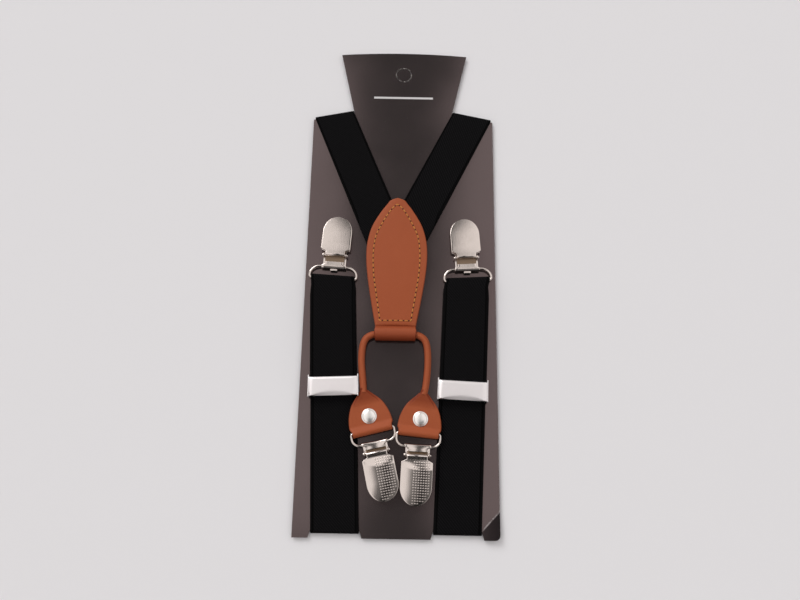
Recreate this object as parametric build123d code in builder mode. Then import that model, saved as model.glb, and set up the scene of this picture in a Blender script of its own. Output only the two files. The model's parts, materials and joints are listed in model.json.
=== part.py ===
"""Y-back suspenders wrapped round a hang card, lying flat with the front up.

Axes: X to the right, Y towards the hang tab of the card, Z up. The origin is the centre of
the card's outline, on the surface that the back runs of the straps lie on. Millimetres.
"""

import os
from math import cos, radians, sin, tan

from build123d import *

os.makedirs("parts", exist_ok=True)

# ---- driving dimensions ---------------------------------------------------------------
web = 1.0  # webbing thickness
web_half = 12.5  # half the width of the 25 mm webbing
gap = 0.05  # play between stacked layers
card_thick = 0.5
hide = 1.0  # leather thickness
wire = 1.6  # diameter of the wire loops
plate = 0.6  # sheet metal of the clips

# ---- heights of the stacked layers ----------------------------------------------------
card_z = web + gap
rest_z = card_z + card_thick + gap  # underside of what lies on the card
bar_z = rest_z + web + 0.1 + wire / 2  # axis of every wire loop
upper_z = bar_z + wire / 2 + 0.1  # underside of the doubled front layer
patch_strap_z = rest_z + hide + gap  # strap ends inside the patch
front_hide_z = patch_strap_z + web + gap

# ---- card outline ---------------------------------------------------------------------
card_half = 52.0
card_bottom = -138.5
card_top = 138.5
tab_half = 37.2  # half width of the hang tab at its top
tab_side_y = 137.0
neck_half = 28.5
neck_y = 98.3
shoulder_y = 93.4
notch_in = 18.2  # strap notches in the bottom edge
notch_out = 43.0
notch_y = -135.0
hole_y = 124.0
hole_r = 4.4  # ring of cuts round the punch-out of the hanging hole

# ---- straps ---------------------------------------------------------------------------
shoulder_in = 28.6  # where the folded strap crosses the sloping shoulder
shoulder_out = 51.0
foot_in = 18.5
foot_out = 42.8
wide_y = -11.0  # below this line the front run has its full width
wide_mid = {-1: 36.3, 1: 35.7}  # middle of the front run there
fold_half = 10.7  # strap squeezed into the wire loop
fold_shift = 0.5  # strap off the loop's middle, towards the other strap
tail_bend_y = -2.0  # bend of the sewn end round the adjuster's bar, from the adjuster's middle
sewn_end = 9.5
patch_x = -2.2  # centre line of the patch
diag_foot_y = -7.0
diag_lean = {-1: 22.6, 1: 26.2}  # lean of the crossing runs, degrees from Y

# ---- clips ----------------------------------------------------------------------------
front_clip = {"x": 36.45, "y": 2.7, "lean": 3.4}
loop_depth = 6.7  # wide bar to narrow bar, centre to centre
front_kind = {"loop_half": 12.8, "bend": 5.0, "corner": 1.5, "neck": 6.4, "tip": 29.7}
back_kind = {"loop_half": 10.8, "bend": 3.9, "corner": 1.1, "neck": 4.3, "tip": 29.2}
channel_in = wire / 2 + 0.08
channel_out = channel_in + plate
channel_half = 6.8
band_half = 5.2
band_y = 2.5  # end of the channel's upper lap
notch_half = 1.9
lug_y = -2.3  # end of the front clips' lug
body_z = bar_z - channel_out
trunnion_z = bar_z + 0.7
trunnion_r = 0.6
trunnion_half = 7.05
ear_in = 5.75
ear_r = 1.3
roll_r = 0.95
roll_half = 5.35
roll_up = (0.6, 0.3)  # rolled edge of the lever from the trunnion, along and up
paddle_half = 8.1
paddle_end = 9.0  # length of the half-elliptic end of a paddle
lever_tip_z = body_z + plate + 0.15

# ---- leather loop ---------------------------------------------------------------------
tunnel_y = -35.3
tunnel_in = 2.0
tunnel_z = rest_z + hide + tunnel_in
welt_y = -9.0  # above this line the patch is open for the strap ends
cord_r = 1.75
cord_drop = 0.3  # slope of the cord down to the tabs, degrees
cord_corner = {-1: (-19.3, 6.2), 1: (15.2, 6.0)}  # X of an arm and the radius at the tunnel
cord_elbow = {-1: (-19.2, -14.5), 1: (15.5, -19.7)}
cord_end = {-1: (-17.4, -33.3), 1: (13.0, -34.2)}
elbow_r = 65.0
rivets = {-1: (-14.9, -78.3), 1: (11.6, -79.3)}
tab_lean = {-1: 14.5, 1: -7.0}
back_lean = {-1: 12.5, 1: -2.5}
tab_bar = 7.4  # rivet to the wire loop's wide bar
tab_neck = 13.5  # rivet to the tab's narrow end
tab_closed = 4.1  # up to here the two layers of a tab lie together
tab_low = rest_z + web + 2 * gap  # the tabs lie on the edges of the straps
tab_z = tab_low + 2 * hide + gap
back_lift = tab_low + hide + channel_in - bar_z  # back clips above the front clips
rivet_r = 3.9
rivet_rise = 1.3
rivet_edge = 0.2  # straight part of the cap's edge
post_r = 1.1
base_r = 3.0
base_thick = 0.4

# ---- adjusters ------------------------------------------------------------------------
adjuster_at = {-1: (-34.05, -63.2), 1: (33.5, -64.5)}
strap_lean = 2.42  # degrees, outwards at the top
frame_in = 12.65
ear_thick = 0.45
cover_half = frame_in - 0.08
cover_top = 5.0
cover_z = upper_z + web + 0.1
cover_thick = 0.7
hinge_y = -4.4
hinge_r = 0.5
hinge_z = cover_z + hinge_r
hinge_pin_r = 0.4
frame_bar = 0.6  # thickness of the cross bars
frame_z = (rest_z + upper_z - gap) / 2 - frame_bar / 2

SIDES = {-1: "left", 1: "right"}


def flat_plane(x, y, lean, up=1, z=0.0):
    """Plane lying flat at (x, y, z); its own Y leans `lean` degrees from +Y towards +X.

    With up=-1 its own Y leans `lean` degrees from -Y towards +X instead.
    """
    a = radians(lean)
    along = (sin(a), up * cos(a), 0)
    across = (along[1], -along[0], 0)
    return Plane(origin=(x, y, z), x_dir=across, z_dir=(0, 0, 1))


def side_plane(base):
    """Upright plane through the base plane's own Y; sketch X runs along it, sketch Y is up."""
    return Plane(origin=base.origin, x_dir=base.y_dir, z_dir=base.x_dir)


def finish(builder, label):
    """Label a finished piece and write its STEP file."""
    builder.part.label = label
    export_step(builder.part, f"parts/{label}.step")


def clip_base(side, back):
    """Plane at the middle of a clip's hinge bar, its own Y pointing to the clip's tip."""
    if not back:
        return flat_plane(side * front_clip["x"], front_clip["y"], -side * front_clip["lean"])
    x, y = rivets[side]
    tab = flat_plane(x, y, tab_lean[side], up=-1)
    bar = tab.from_local_coords(Vector(0, tab_bar, 0))
    lean = flat_plane(bar.X, bar.Y, back_lean[side], up=-1)
    hinge = lean.from_local_coords(Vector(0, loop_depth, 0))
    return flat_plane(hinge.X, hinge.Y, back_lean[side], up=-1, z=back_lift)


# ---- hang card ------------------------------------------------------------------------
with BuildPart() as hang_card:
    with BuildSketch(Plane.XY.offset(card_z)):
        with BuildLine():
            top = ThreePointArc((-tab_half, tab_side_y), (0, card_top), (tab_half, tab_side_y))
            Polyline(
                top @ 1,
                (neck_half, neck_y),
                (card_half, shoulder_y),
                (card_half, card_bottom),
                (notch_out + 1, card_bottom),
                (notch_out, notch_y),
                (notch_in, notch_y),
                (notch_in - 1, card_bottom),
                (1 - notch_in, card_bottom),
                (-notch_in, notch_y),
                (-notch_out, notch_y),
                (-notch_out - 1, card_bottom),
                (-card_half, card_bottom),
                (-card_half, shoulder_y),
                (-neck_half, neck_y),
                top @ 0,
            )
        make_face()
        with Locations((0, hole_y)):
            with PolarLocations(hole_r, 4, 45):
                SlotArc(CenterArc((-hole_r, 0), hole_r, -35, 70), 0.35, mode=Mode.SUBTRACT)
    extrude(amount=card_thick)
finish(hang_card, "hang_card")


# ---- straps ---------------------------------------------------------------------------
def crossing_edges(side):
    """Inner and outer shoulder points of a strap and the ends of its crossing run."""
    fall = (shoulder_y - neck_y) / (card_half - neck_half)
    outer = Vector(side * shoulder_out, neck_y + (shoulder_out - neck_half) * fall)
    inner = Vector(side * shoulder_in, neck_y + (shoulder_in - neck_half) * fall)
    slope = tan(radians(diag_lean[side]))
    meet_y = inner.Y - (side * (inner.X - patch_x) - gap) / slope
    foot_x = outer.X - side * (outer.Y - diag_foot_y) * slope
    return outer, inner, meet_y, foot_x


def layer(line, thick):
    """Corners of a flat layer's side view, from its underside line and its thickness."""
    return [*line, *[(y, z + thick) for y, z in reversed(line)]]


def strap(side):
    """One webbing run: patch, over the shoulder, down the back, round the foot, up the front."""
    outer, inner, meet_y, foot_x = crossing_edges(side)
    clip = clip_base(side, back=False)
    bar = clip.from_local_coords(Vector(0, -loop_depth, 0))
    bar_plane = flat_plane(bar.X, bar.Y, -side * front_clip["lean"])
    shift = -side * fold_shift
    fold_inner = bar_plane.from_local_coords(Vector(shift - side * fold_half, 0, 0))
    fold_outer = bar_plane.from_local_coords(Vector(shift + side * fold_half, 0, 0))
    lift_low, lift_high = adjuster_at[side][1] - 6.4, adjuster_at[side][1] - 3.2
    rise = [(100, rest_z), (neck_y - 2, rest_z), (44, patch_strap_z), (diag_foot_y, patch_strap_z)]
    climb = [(notch_y, rest_z), (lift_low, rest_z), (lift_high, upper_z), (20, upper_z)]
    fold_mid = (rest_z + web) / 2
    fold_in = (rest_z - web) / 2
    with BuildPart() as run:
        # crossing run, rising from the shoulder to its place inside the patch
        with BuildSketch(Plane.YZ):
            Polygon(*layer(rise, web), align=None)
        extrude(amount=60, both=True)
        with BuildSketch(Plane.XY):
            Polygon(
                (outer.X, outer.Y),
                (inner.X, inner.Y),
                (patch_x + side * gap, meet_y),
                (patch_x + side * gap, diag_foot_y),
                (foot_x, diag_foot_y),
                align=None,
            )
        extrude(amount=10, mode=Mode.INTERSECT)
    with BuildPart() as back:
        with BuildSketch(Plane.XY):
            Polygon(
                (outer.X, outer.Y),
                (inner.X, inner.Y),
                (side * foot_in, notch_y),
                (side * foot_out, notch_y),
                align=None,
            )
        extrude(amount=web)
    with BuildPart() as front:
        # front run: flat on the card, then lifted over the adjuster's bar up to the wire loop
        with BuildSketch(Plane.YZ):
            Polygon(*layer(climb, web), align=None)
        extrude(amount=60, both=True)
        with BuildSketch(Plane.XY):
            Polygon(
                (side * foot_out, notch_y),
                (side * foot_in, notch_y),
                (side * (wide_mid[side] - web_half), wide_y),
                (fold_inner.X, fold_inner.Y),
                (fold_outer.X, fold_outer.Y),
                (side * (wide_mid[side] + web_half), wide_y),
                align=None,
            )
        extrude(amount=10, mode=Mode.INTERSECT)
    with BuildPart() as loop_fold:
        with BuildSketch(side_plane(bar_plane).offset(shift)):
            with Locations((0, bar_z)):
                Circle(upper_z + web - bar_z)
                Circle(upper_z - bar_z, mode=Mode.SUBTRACT)
            with Locations((-5, bar_z)):
                Rectangle(10, 10, mode=Mode.SUBTRACT)
        extrude(amount=fold_half, both=True)
    with BuildPart() as foot_fold:
        with BuildSketch(Plane.YZ.offset(side * foot_in)):
            with Locations((notch_y, fold_mid)):
                Circle(fold_mid)
                Circle(fold_in, mode=Mode.SUBTRACT)
            with Locations((notch_y + 5, fold_mid)):
                Rectangle(10, 10, mode=Mode.SUBTRACT)
        extrude(amount=side * (foot_out - foot_in))
    across = outer - inner
    slope = Plane(origin=(inner.X, inner.Y, fold_mid), x_dir=(0, 0, 1), z_dir=across)
    cardward = -1 if slope.y_dir.Y > 0 else 1
    with BuildPart() as shoulder_fold:
        with BuildSketch(slope):
            Circle(fold_mid)
            Circle(fold_in, mode=Mode.SUBTRACT)
            with Locations((0, 5 * cardward)):
                Rectangle(10, 10, mode=Mode.SUBTRACT)
        extrude(amount=across.length)
    with BuildPart() as whole:
        add([run.part, back.part, front.part, loop_fold.part, foot_fold.part, shoulder_fold.part])
    return whole


def strap_tail(side):
    """Doubled end of the strap: behind the front layer from the wire loop to the adjuster."""
    at = flat_plane(*adjuster_at[side], side * strap_lean)
    bar = clip_base(side, back=False).from_local_coords(Vector(0, -loop_depth, 0))
    bar_plane = flat_plane(bar.X, bar.Y, -side * front_clip["lean"])
    reach = (bar - at.origin).dot(at.y_dir)
    inner_r = (upper_z - gap - rest_z) / 2 - web
    mid = rest_z + web + inner_r
    lower = [(tail_bend_y, rest_z), (reach + 6, rest_z)]
    sewn = [(tail_bend_y, mid + inner_r), (sewn_end, mid + inner_r)]
    with BuildPart() as tail:
        with BuildSketch(side_plane(at)):
            Polygon(*layer(lower, web), align=None)
            Polygon(*layer(sewn, web), align=None)
            with Locations((tail_bend_y, mid)):
                Circle(inner_r + web)
            with Locations((tail_bend_y + 2, mid)):
                SlotCenterToCenter(4, 2 * inner_r, mode=Mode.SUBTRACT)
        extrude(amount=web_half - 0.6, both=True)
        with BuildSketch(bar_plane):
            with Locations((0, 20 - gap)):
                Rectangle(80, 40)
        extrude(amount=10, mode=Mode.SUBTRACT)
    return tail


for side, word in SIDES.items():
    finish(strap(side), f"strap_{word}")
    finish(strap_tail(side), f"strap_tail_{word}")


# ---- leather patch --------------------------------------------------------------------
with BuildPart() as back_patch:
    with BuildSketch(Plane.YZ):
        Polygon(*layer([(tunnel_y, rest_z), (50, rest_z)], hide), align=None)
        Polygon(*layer([(welt_y, front_hide_z), (50, front_hide_z)], hide), align=None)
        # below the strap ends the two leaves are drawn together and sewn
        Polygon(
            (tunnel_y, rest_z + hide),
            (welt_y, rest_z + hide),
            (welt_y, front_hide_z + hide),
            (tunnel_y, tunnel_z + tunnel_in + hide / 2),
            align=None,
        )
        with Locations((tunnel_y, tunnel_z)):
            Circle(tunnel_in + hide)
        with Locations((tunnel_y, tunnel_z)):
            Circle(tunnel_in, mode=Mode.SUBTRACT)
    extrude(amount=30, both=True)
    with BuildSketch(Plane((patch_x, 0, 0))):
        with BuildLine():
            taper = Line((9.9, tunnel_y - 4), (14.7, -10))
            flank = ThreePointArc(taper @ 1, (16.6, 9), (13.8, 25.3))
            upper = ThreePointArc(flank @ 1, (9.2, 33.7), (2.6, 42.0))
            mirror(about=Plane.YZ)
            ThreePointArc(upper @ 1, (0, 43.4), (-2.6, 42.0))
            Line(taper @ 0, (-9.9, tunnel_y - 4))
        make_face()
    extrude(amount=20, mode=Mode.INTERSECT)
finish(back_patch, "back_patch")


# ---- leather loop: rolled cord through the tunnel, flat riveted tabs at its ends --------
def tab(side):
    """Flat end of the leather loop, folded round a wire loop's wide bar."""
    at = flat_plane(*rivets[side], tab_lean[side], up=-1)
    bar = at.from_local_coords(Vector(0, tab_bar, 0))
    bar_side = side_plane(flat_plane(bar.X, bar.Y, back_lean[side], up=-1))
    fold_r = channel_in + hide
    fold_half_width = back_kind["loop_half"] - back_kind["corner"] - 0.2
    with BuildPart() as flap:
        with BuildSketch(side_plane(at)):
            Polygon(
                (-tab_neck, tab_low),
                (tab_bar, tab_low),
                (tab_bar, bar_z + back_lift + fold_r),
                (tab_closed, tab_z),
                (-tab_neck, tab_z),
                align=None,
            )
        extrude(amount=15, both=True)
        with BuildSketch(bar_side):
            with Locations((0, bar_z + back_lift)):
                Circle(fold_r)
        extrude(amount=15, both=True)
        with BuildSketch(bar_side):
            with Locations((0, bar_z + back_lift)):
                Circle(channel_in)
        extrude(amount=15, both=True, mode=Mode.SUBTRACT)
        with BuildSketch(at):
            with BuildLine():
                flare = Spline((2.2, -tab_neck), (3.1, -10.8), (7.8, -6.0), (11.2, 3.6))
                Polyline(flare @ 1, (fold_half_width, 5.8), (fold_half_width, 12))
                mirror(about=Plane.YZ)
                Line((fold_half_width, 12), (-fold_half_width, 12))
                Line(flare @ 0, (-2.2, -tab_neck))
            make_face()
        extrude(amount=20, mode=Mode.INTERSECT)
        with BuildSketch(at.offset(tab_low)):
            Circle(post_r + gap)
        extrude(amount=5, mode=Mode.SUBTRACT)
        with BuildSketch(at.offset(tab_low)):
            Circle(base_r + gap)
        extrude(amount=base_thick + gap, mode=Mode.SUBTRACT)
    return flap


drop = radians(cord_drop)
cord_plane = Plane(
    origin=(0, tunnel_y, tunnel_z), x_dir=(1, 0, 0), z_dir=(0, -sin(drop), cos(drop))
)
with BuildPart() as cord:
    with BuildLine(cord_plane) as cord_path:
        FilletPolyline(
            cord_end[-1],
            cord_elbow[-1],
            (cord_corner[-1][0], 0),
            (cord_corner[1][0], 0),
            cord_elbow[1],
            cord_end[1],
            radius=[elbow_r, cord_corner[-1][1], cord_corner[1][1], elbow_r],
        )
    with BuildSketch(Plane(origin=cord_path.line @ 0, z_dir=cord_path.line % 0)):
        Circle(cord_r)
    sweep()
    with Locations(cord_path.line @ 0, cord_path.line @ 1):
        Sphere(cord_r)
left_tab, right_tab = tab(-1), tab(1)
with BuildPart() as leather_loop:
    add([cord.part, left_tab.part, right_tab.part])
finish(leather_loop, "leather_loop")


# ---- rivets ---------------------------------------------------------------------------
def rivet_cap(side):
    """Domed cap with its post through both layers of a tab."""
    x, y = rivets[side]
    dome = rivet_rise - rivet_edge
    dome_r = (rivet_r**2 + dome**2) / (2 * dome)
    upright = Plane(origin=(x, y, 0), x_dir=(1, 0, 0), z_dir=(0, -1, 0))
    with BuildPart() as cap:
        with BuildSketch(upright):
            with BuildLine():
                Polyline(
                    (0, tab_low + base_thick),
                    (post_r, tab_low + base_thick),
                    (post_r, tab_z),
                    (rivet_r, tab_z),
                    (rivet_r, tab_z + rivet_edge),
                )
                RadiusArc((rivet_r, tab_z + rivet_edge), (0, tab_z + rivet_rise), -dome_r)
                Line((0, tab_z + rivet_rise), (0, tab_low + base_thick))
            make_face()
        revolve(axis=Axis((x, y, 0), (0, 0, 1)))
    return cap


def rivet_base(side):
    """Flat disc that closes the rivet under the tab."""
    with BuildPart() as base:
        with BuildSketch(Plane((*rivets[side], tab_low))):
            Circle(base_r)
        extrude(amount=base_thick)
    return base


# ---- adjusters ------------------------------------------------------------------------
def adjuster_frame(side):
    """Two cross bars between the strap layers, joined by an ear at each side."""
    at = flat_plane(*adjuster_at[side], side * strap_lean)
    outline = [
        (-5.2, frame_z),
        (6.3, frame_z),
        (6.3, upper_z + 0.8),
        (-2.6, hinge_z + 0.3),
        (-3.6, hinge_z + 0.9),
        (-5.2, hinge_z + 0.9),
    ]
    with BuildPart() as frame:
        with BuildSketch(at.offset(frame_z)):
            for low, high in ((tail_bend_y, tail_bend_y + 2.4), (3.2, 4.8)):
                with Locations((0, (low + high) / 2)):
                    Rectangle(2 * (frame_in + ear_thick), high - low)
        extrude(amount=frame_bar)
        for face in (frame_in, -frame_in - ear_thick):
            with BuildSketch(side_plane(at).offset(face)):
                Polygon(*outline, align=None)
                with Locations((hinge_y, hinge_z)):
                    Circle(hinge_pin_r + 0.06, mode=Mode.SUBTRACT)
            extrude(amount=ear_thick)
    return frame


def adjuster_cover(side):
    """Cover plate with a rounded hinge edge and a pin into each ear."""
    at = flat_plane(*adjuster_at[side], side * strap_lean)
    with BuildPart() as cover:
        with BuildSketch(at.offset(cover_z)):
            with Locations((0, (hinge_y + cover_top) / 2)):
                Rectangle(2 * cover_half, cover_top - hinge_y)
        extrude(amount=cover_thick)
        chamfer(cover.faces().sort_by(Axis.Z)[-1].edges(), 0.25)
        with BuildSketch(side_plane(at)):
            with Locations((hinge_y, hinge_z)):
                Circle(hinge_r)
        extrude(amount=cover_half, both=True)
        with BuildSketch(side_plane(at)):
            with Locations((hinge_y, hinge_z)):
                Circle(hinge_pin_r)
        extrude(amount=frame_in + ear_thick, both=True)
    return cover


# ---- clips ----------------------------------------------------------------------------
def wire_loop(base, kind):
    """Closed loop of round wire with its narrow bar through the clip's channel."""
    half, bend, corner = kind["loop_half"], kind["bend"], kind["corner"]
    with BuildPart() as loop:
        with BuildLine(base.offset(bar_z)) as path:
            FilletPolyline(
                (-half, 0),
                (half, 0),
                (half, -loop_depth),
                (-half, -loop_depth),
                radius=[bend, bend, corner, corner],
                close=True,
            )
        with BuildSketch(Plane(origin=path.line @ 0, z_dir=path.line % 0)):
            Circle(wire / 2)
        sweep()
    return loop


def paddle(neck, tip, half, neck_half):
    """Sketch of a paddle: a neck, two sloping shoulders and a half-elliptic tip."""
    waist = neck + 2.4
    with BuildSketch() as shape:
        Polygon(
            (-neck_half, neck - 1),
            (neck_half, neck - 1),
            (neck_half, waist),
            (half, waist + 1.2),
            (half, tip - paddle_end),
            (-half, tip - paddle_end),
            (-half, waist + 1.2),
            (-neck_half, waist),
            align=None,
        )
        with Locations((0, tip - paddle_end)):
            Ellipse(half, paddle_end)
    return shape.sketch


def clip_body(base, kind, notched):
    """Back plate: channel round the wire, ears for the trunnions and the lower paddle."""
    neck, tip = kind["neck"], kind["tip"]
    side = side_plane(base)
    outline = paddle(neck, tip - 0.3, paddle_half - 0.3, ear_in + plate)
    with BuildPart() as body:
        with BuildSketch(base.offset(body_z)):
            add(outline)
            with Locations((0, neck / 2)):
                Rectangle(2 * (ear_in + plate), neck)
        extrude(amount=plate)
        with BuildSketch(side):
            with Locations((0, bar_z)):
                Circle(channel_out)
                Circle(channel_in, mode=Mode.SUBTRACT)
            with Locations((5, bar_z)):
                Rectangle(10, 10, mode=Mode.SUBTRACT)
        extrude(amount=channel_half, both=True)
        with BuildSketch(side):
            with Locations((band_y / 2, bar_z + channel_in + plate / 2)):
                Rectangle(band_y, plate)
        extrude(amount=band_half, both=True)
        if notched:
            with BuildSketch(base.offset(bar_z)):
                with Locations((0, -channel_out)):
                    Rectangle(2 * notch_half, 2 * (channel_out - 0.7))
            extrude(amount=5, mode=Mode.SUBTRACT)
        else:
            with BuildSketch(base.offset(bar_z - 0.35)):
                with Locations((0, (lug_y - channel_in - 0.1) / 2)):
                    Rectangle(2 * notch_half, -lug_y - channel_in - 0.1)
            extrude(amount=0.5)
        for face in (ear_in, -ear_in - plate):
            with BuildSketch(side.offset(face)):
                with Locations((neck, (body_z + trunnion_z) / 2)):
                    Rectangle(2 * ear_r, trunnion_z - body_z)
                with Locations((neck, trunnion_z)):
                    Circle(ear_r)
                with Locations((neck, trunnion_z)):
                    Circle(trunnion_r + 0.06, mode=Mode.SUBTRACT)
            extrude(amount=plate)
    return body


def clip_lever(base, kind):
    """Front jaw: sloping paddle with a rolled edge, turning on two trunnions."""
    neck, tip = kind["neck"], kind["tip"]
    side = side_plane(base)
    roll_y, roll_z = neck + roll_up[0], trunnion_z + roll_up[1]
    outline = paddle(neck, tip, paddle_half, roll_half)
    with BuildPart() as lever:
        with BuildSketch(side):
            Polygon(
                (roll_y, roll_z + roll_r - plate),
                (tip, lever_tip_z),
                (tip, lever_tip_z + plate),
                (roll_y, roll_z + roll_r),
                align=None,
            )
        extrude(amount=10, both=True)
        with BuildSketch(base):
            add(outline)
        extrude(amount=10, mode=Mode.INTERSECT)
        with BuildSketch(side):
            with Locations((roll_y, roll_z)):
                Circle(roll_r)
            with Locations((neck, trunnion_z)):
                Circle(roll_r - 0.1)
        extrude(amount=roll_half, both=True)
        with BuildSketch(side):
            with Locations((neck, trunnion_z)):
                Circle(trunnion_r)
        extrude(amount=trunnion_half, both=True)
    return lever


def clip_pad(base, kind):
    """Plastic grip pad lying on the back plate, under the lever."""
    neck, tip = kind["neck"], kind["tip"]
    floor = body_z + plate
    low = trunnion_z - roll_r - 0.05
    with BuildPart() as pad:
        with BuildSketch(side_plane(base)):
            Polygon(
                (neck - 1.4, floor),
                (neck - 1.4, low),
                (neck + 2.2, low),
                (neck + 3.2, low + 0.9),
                (tip - 7, floor + 0.5),
                (tip - 6.5, floor),
                align=None,
            )
        extrude(amount=6.6, both=True)
        with BuildSketch(base):
            with Locations((0, neck + 2.2 + 10)):
                Rectangle(20, 20)
            with Locations((0, neck)):
                Rectangle(9, 6)
        extrude(amount=10, mode=Mode.INTERSECT)
    return pad


for side, word in SIDES.items():
    finish(rivet_cap(side), f"rivet_cap_{word}")
    finish(rivet_base(side), f"rivet_base_{word}")
    finish(adjuster_frame(side), f"adjuster_frame_{word}")
    finish(adjuster_cover(side), f"adjuster_cover_{word}")
    for row, kind in (("front", front_kind), ("back", back_kind)):
        base = clip_base(side, back=row == "back")
        finish(wire_loop(base, kind), f"clip_loop_{row}_{word}")
        finish(clip_body(base, kind, notched=row == "back"), f"clip_body_{row}_{word}")
        finish(clip_lever(base, kind), f"clip_lever_{row}_{word}")
        finish(clip_pad(base, kind), f"clip_pad_{row}_{word}")
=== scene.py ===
"""Looks of a pair of Y-back suspenders folded round a hang card.

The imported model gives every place: joints give the clips' and adjusters' own axes, and node boxes
give heights. Hardware sizes are millimetres in the part's own frame and become metres as a mesh is
made.
"""

import json
import logging
import math
from dataclasses import dataclass, field
from enum import Enum
from typing import Callable, Sequence

import bmesh
import bpy
import numpy as np
from mathutils import Matrix, Vector

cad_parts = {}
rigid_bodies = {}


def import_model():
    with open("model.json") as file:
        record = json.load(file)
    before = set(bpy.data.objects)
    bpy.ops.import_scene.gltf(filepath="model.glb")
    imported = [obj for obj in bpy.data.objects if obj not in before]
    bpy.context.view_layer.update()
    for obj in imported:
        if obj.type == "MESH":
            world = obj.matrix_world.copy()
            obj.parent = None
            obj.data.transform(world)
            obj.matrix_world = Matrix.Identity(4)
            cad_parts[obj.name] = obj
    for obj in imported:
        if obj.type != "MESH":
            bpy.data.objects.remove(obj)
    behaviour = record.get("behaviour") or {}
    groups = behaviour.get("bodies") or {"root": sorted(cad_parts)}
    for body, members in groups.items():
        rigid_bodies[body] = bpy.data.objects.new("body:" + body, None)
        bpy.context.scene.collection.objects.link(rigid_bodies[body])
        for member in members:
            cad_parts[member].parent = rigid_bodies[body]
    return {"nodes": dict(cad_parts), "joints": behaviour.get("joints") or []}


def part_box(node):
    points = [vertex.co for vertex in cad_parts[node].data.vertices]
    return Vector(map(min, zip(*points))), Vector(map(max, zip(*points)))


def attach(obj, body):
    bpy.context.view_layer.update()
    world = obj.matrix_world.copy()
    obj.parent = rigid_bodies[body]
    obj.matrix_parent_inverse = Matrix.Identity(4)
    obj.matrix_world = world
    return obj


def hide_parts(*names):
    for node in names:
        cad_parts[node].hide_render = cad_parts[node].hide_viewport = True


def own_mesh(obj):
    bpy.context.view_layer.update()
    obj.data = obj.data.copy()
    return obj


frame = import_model()
log = logging.getLogger("suspenders")

MM = 0.001
UP = np.array([0.0, 0.0, 1.0])
SIDES = {"left": -1, "right": 1}
Point = Sequence[float]


class Finish(Enum):
    """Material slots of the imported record."""

    CARD = "card"
    WEBBING = "webbing"
    LEATHER = "leather"
    NICKEL = "nickel"
    SATIN = "satin"
    PAD = "pad"


class Row(Enum):
    """The two rows of clips."""

    FRONT = "front"
    BACK = "back"


# ---- shader maths ---------------------------------------------------------------------


class Value:
    """One number or vector in a node tree; operators on it add Math nodes."""

    def __init__(self, tree: "Tree", socket: bpy.types.NodeSocket) -> None:
        """Wrap a socket.

        Args:
            tree: the tree that the socket is in.
            socket: the output to read.
        """
        self.tree = tree
        self.socket = socket

    def __add__(self, other: "Value | float") -> "Value":
        """This value plus another."""
        return self.tree.math("ADD", self, other)

    def __radd__(self, other: float) -> "Value":
        """A number plus this value."""
        return self.tree.math("ADD", other, self)

    def __sub__(self, other: "Value | float") -> "Value":
        """This value minus another."""
        return self.tree.math("SUBTRACT", self, other)

    def __rsub__(self, other: float) -> "Value":
        """A number minus this value."""
        return self.tree.math("SUBTRACT", other, self)

    def __mul__(self, other: "Value | float") -> "Value":
        """This value times another."""
        return self.tree.math("MULTIPLY", self, other)

    def __rmul__(self, other: float) -> "Value":
        """A number times this value."""
        return self.tree.math("MULTIPLY", other, self)

    def __truediv__(self, other: "Value | float") -> "Value":
        """This value divided by another."""
        return self.tree.math("DIVIDE", self, other)


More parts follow.
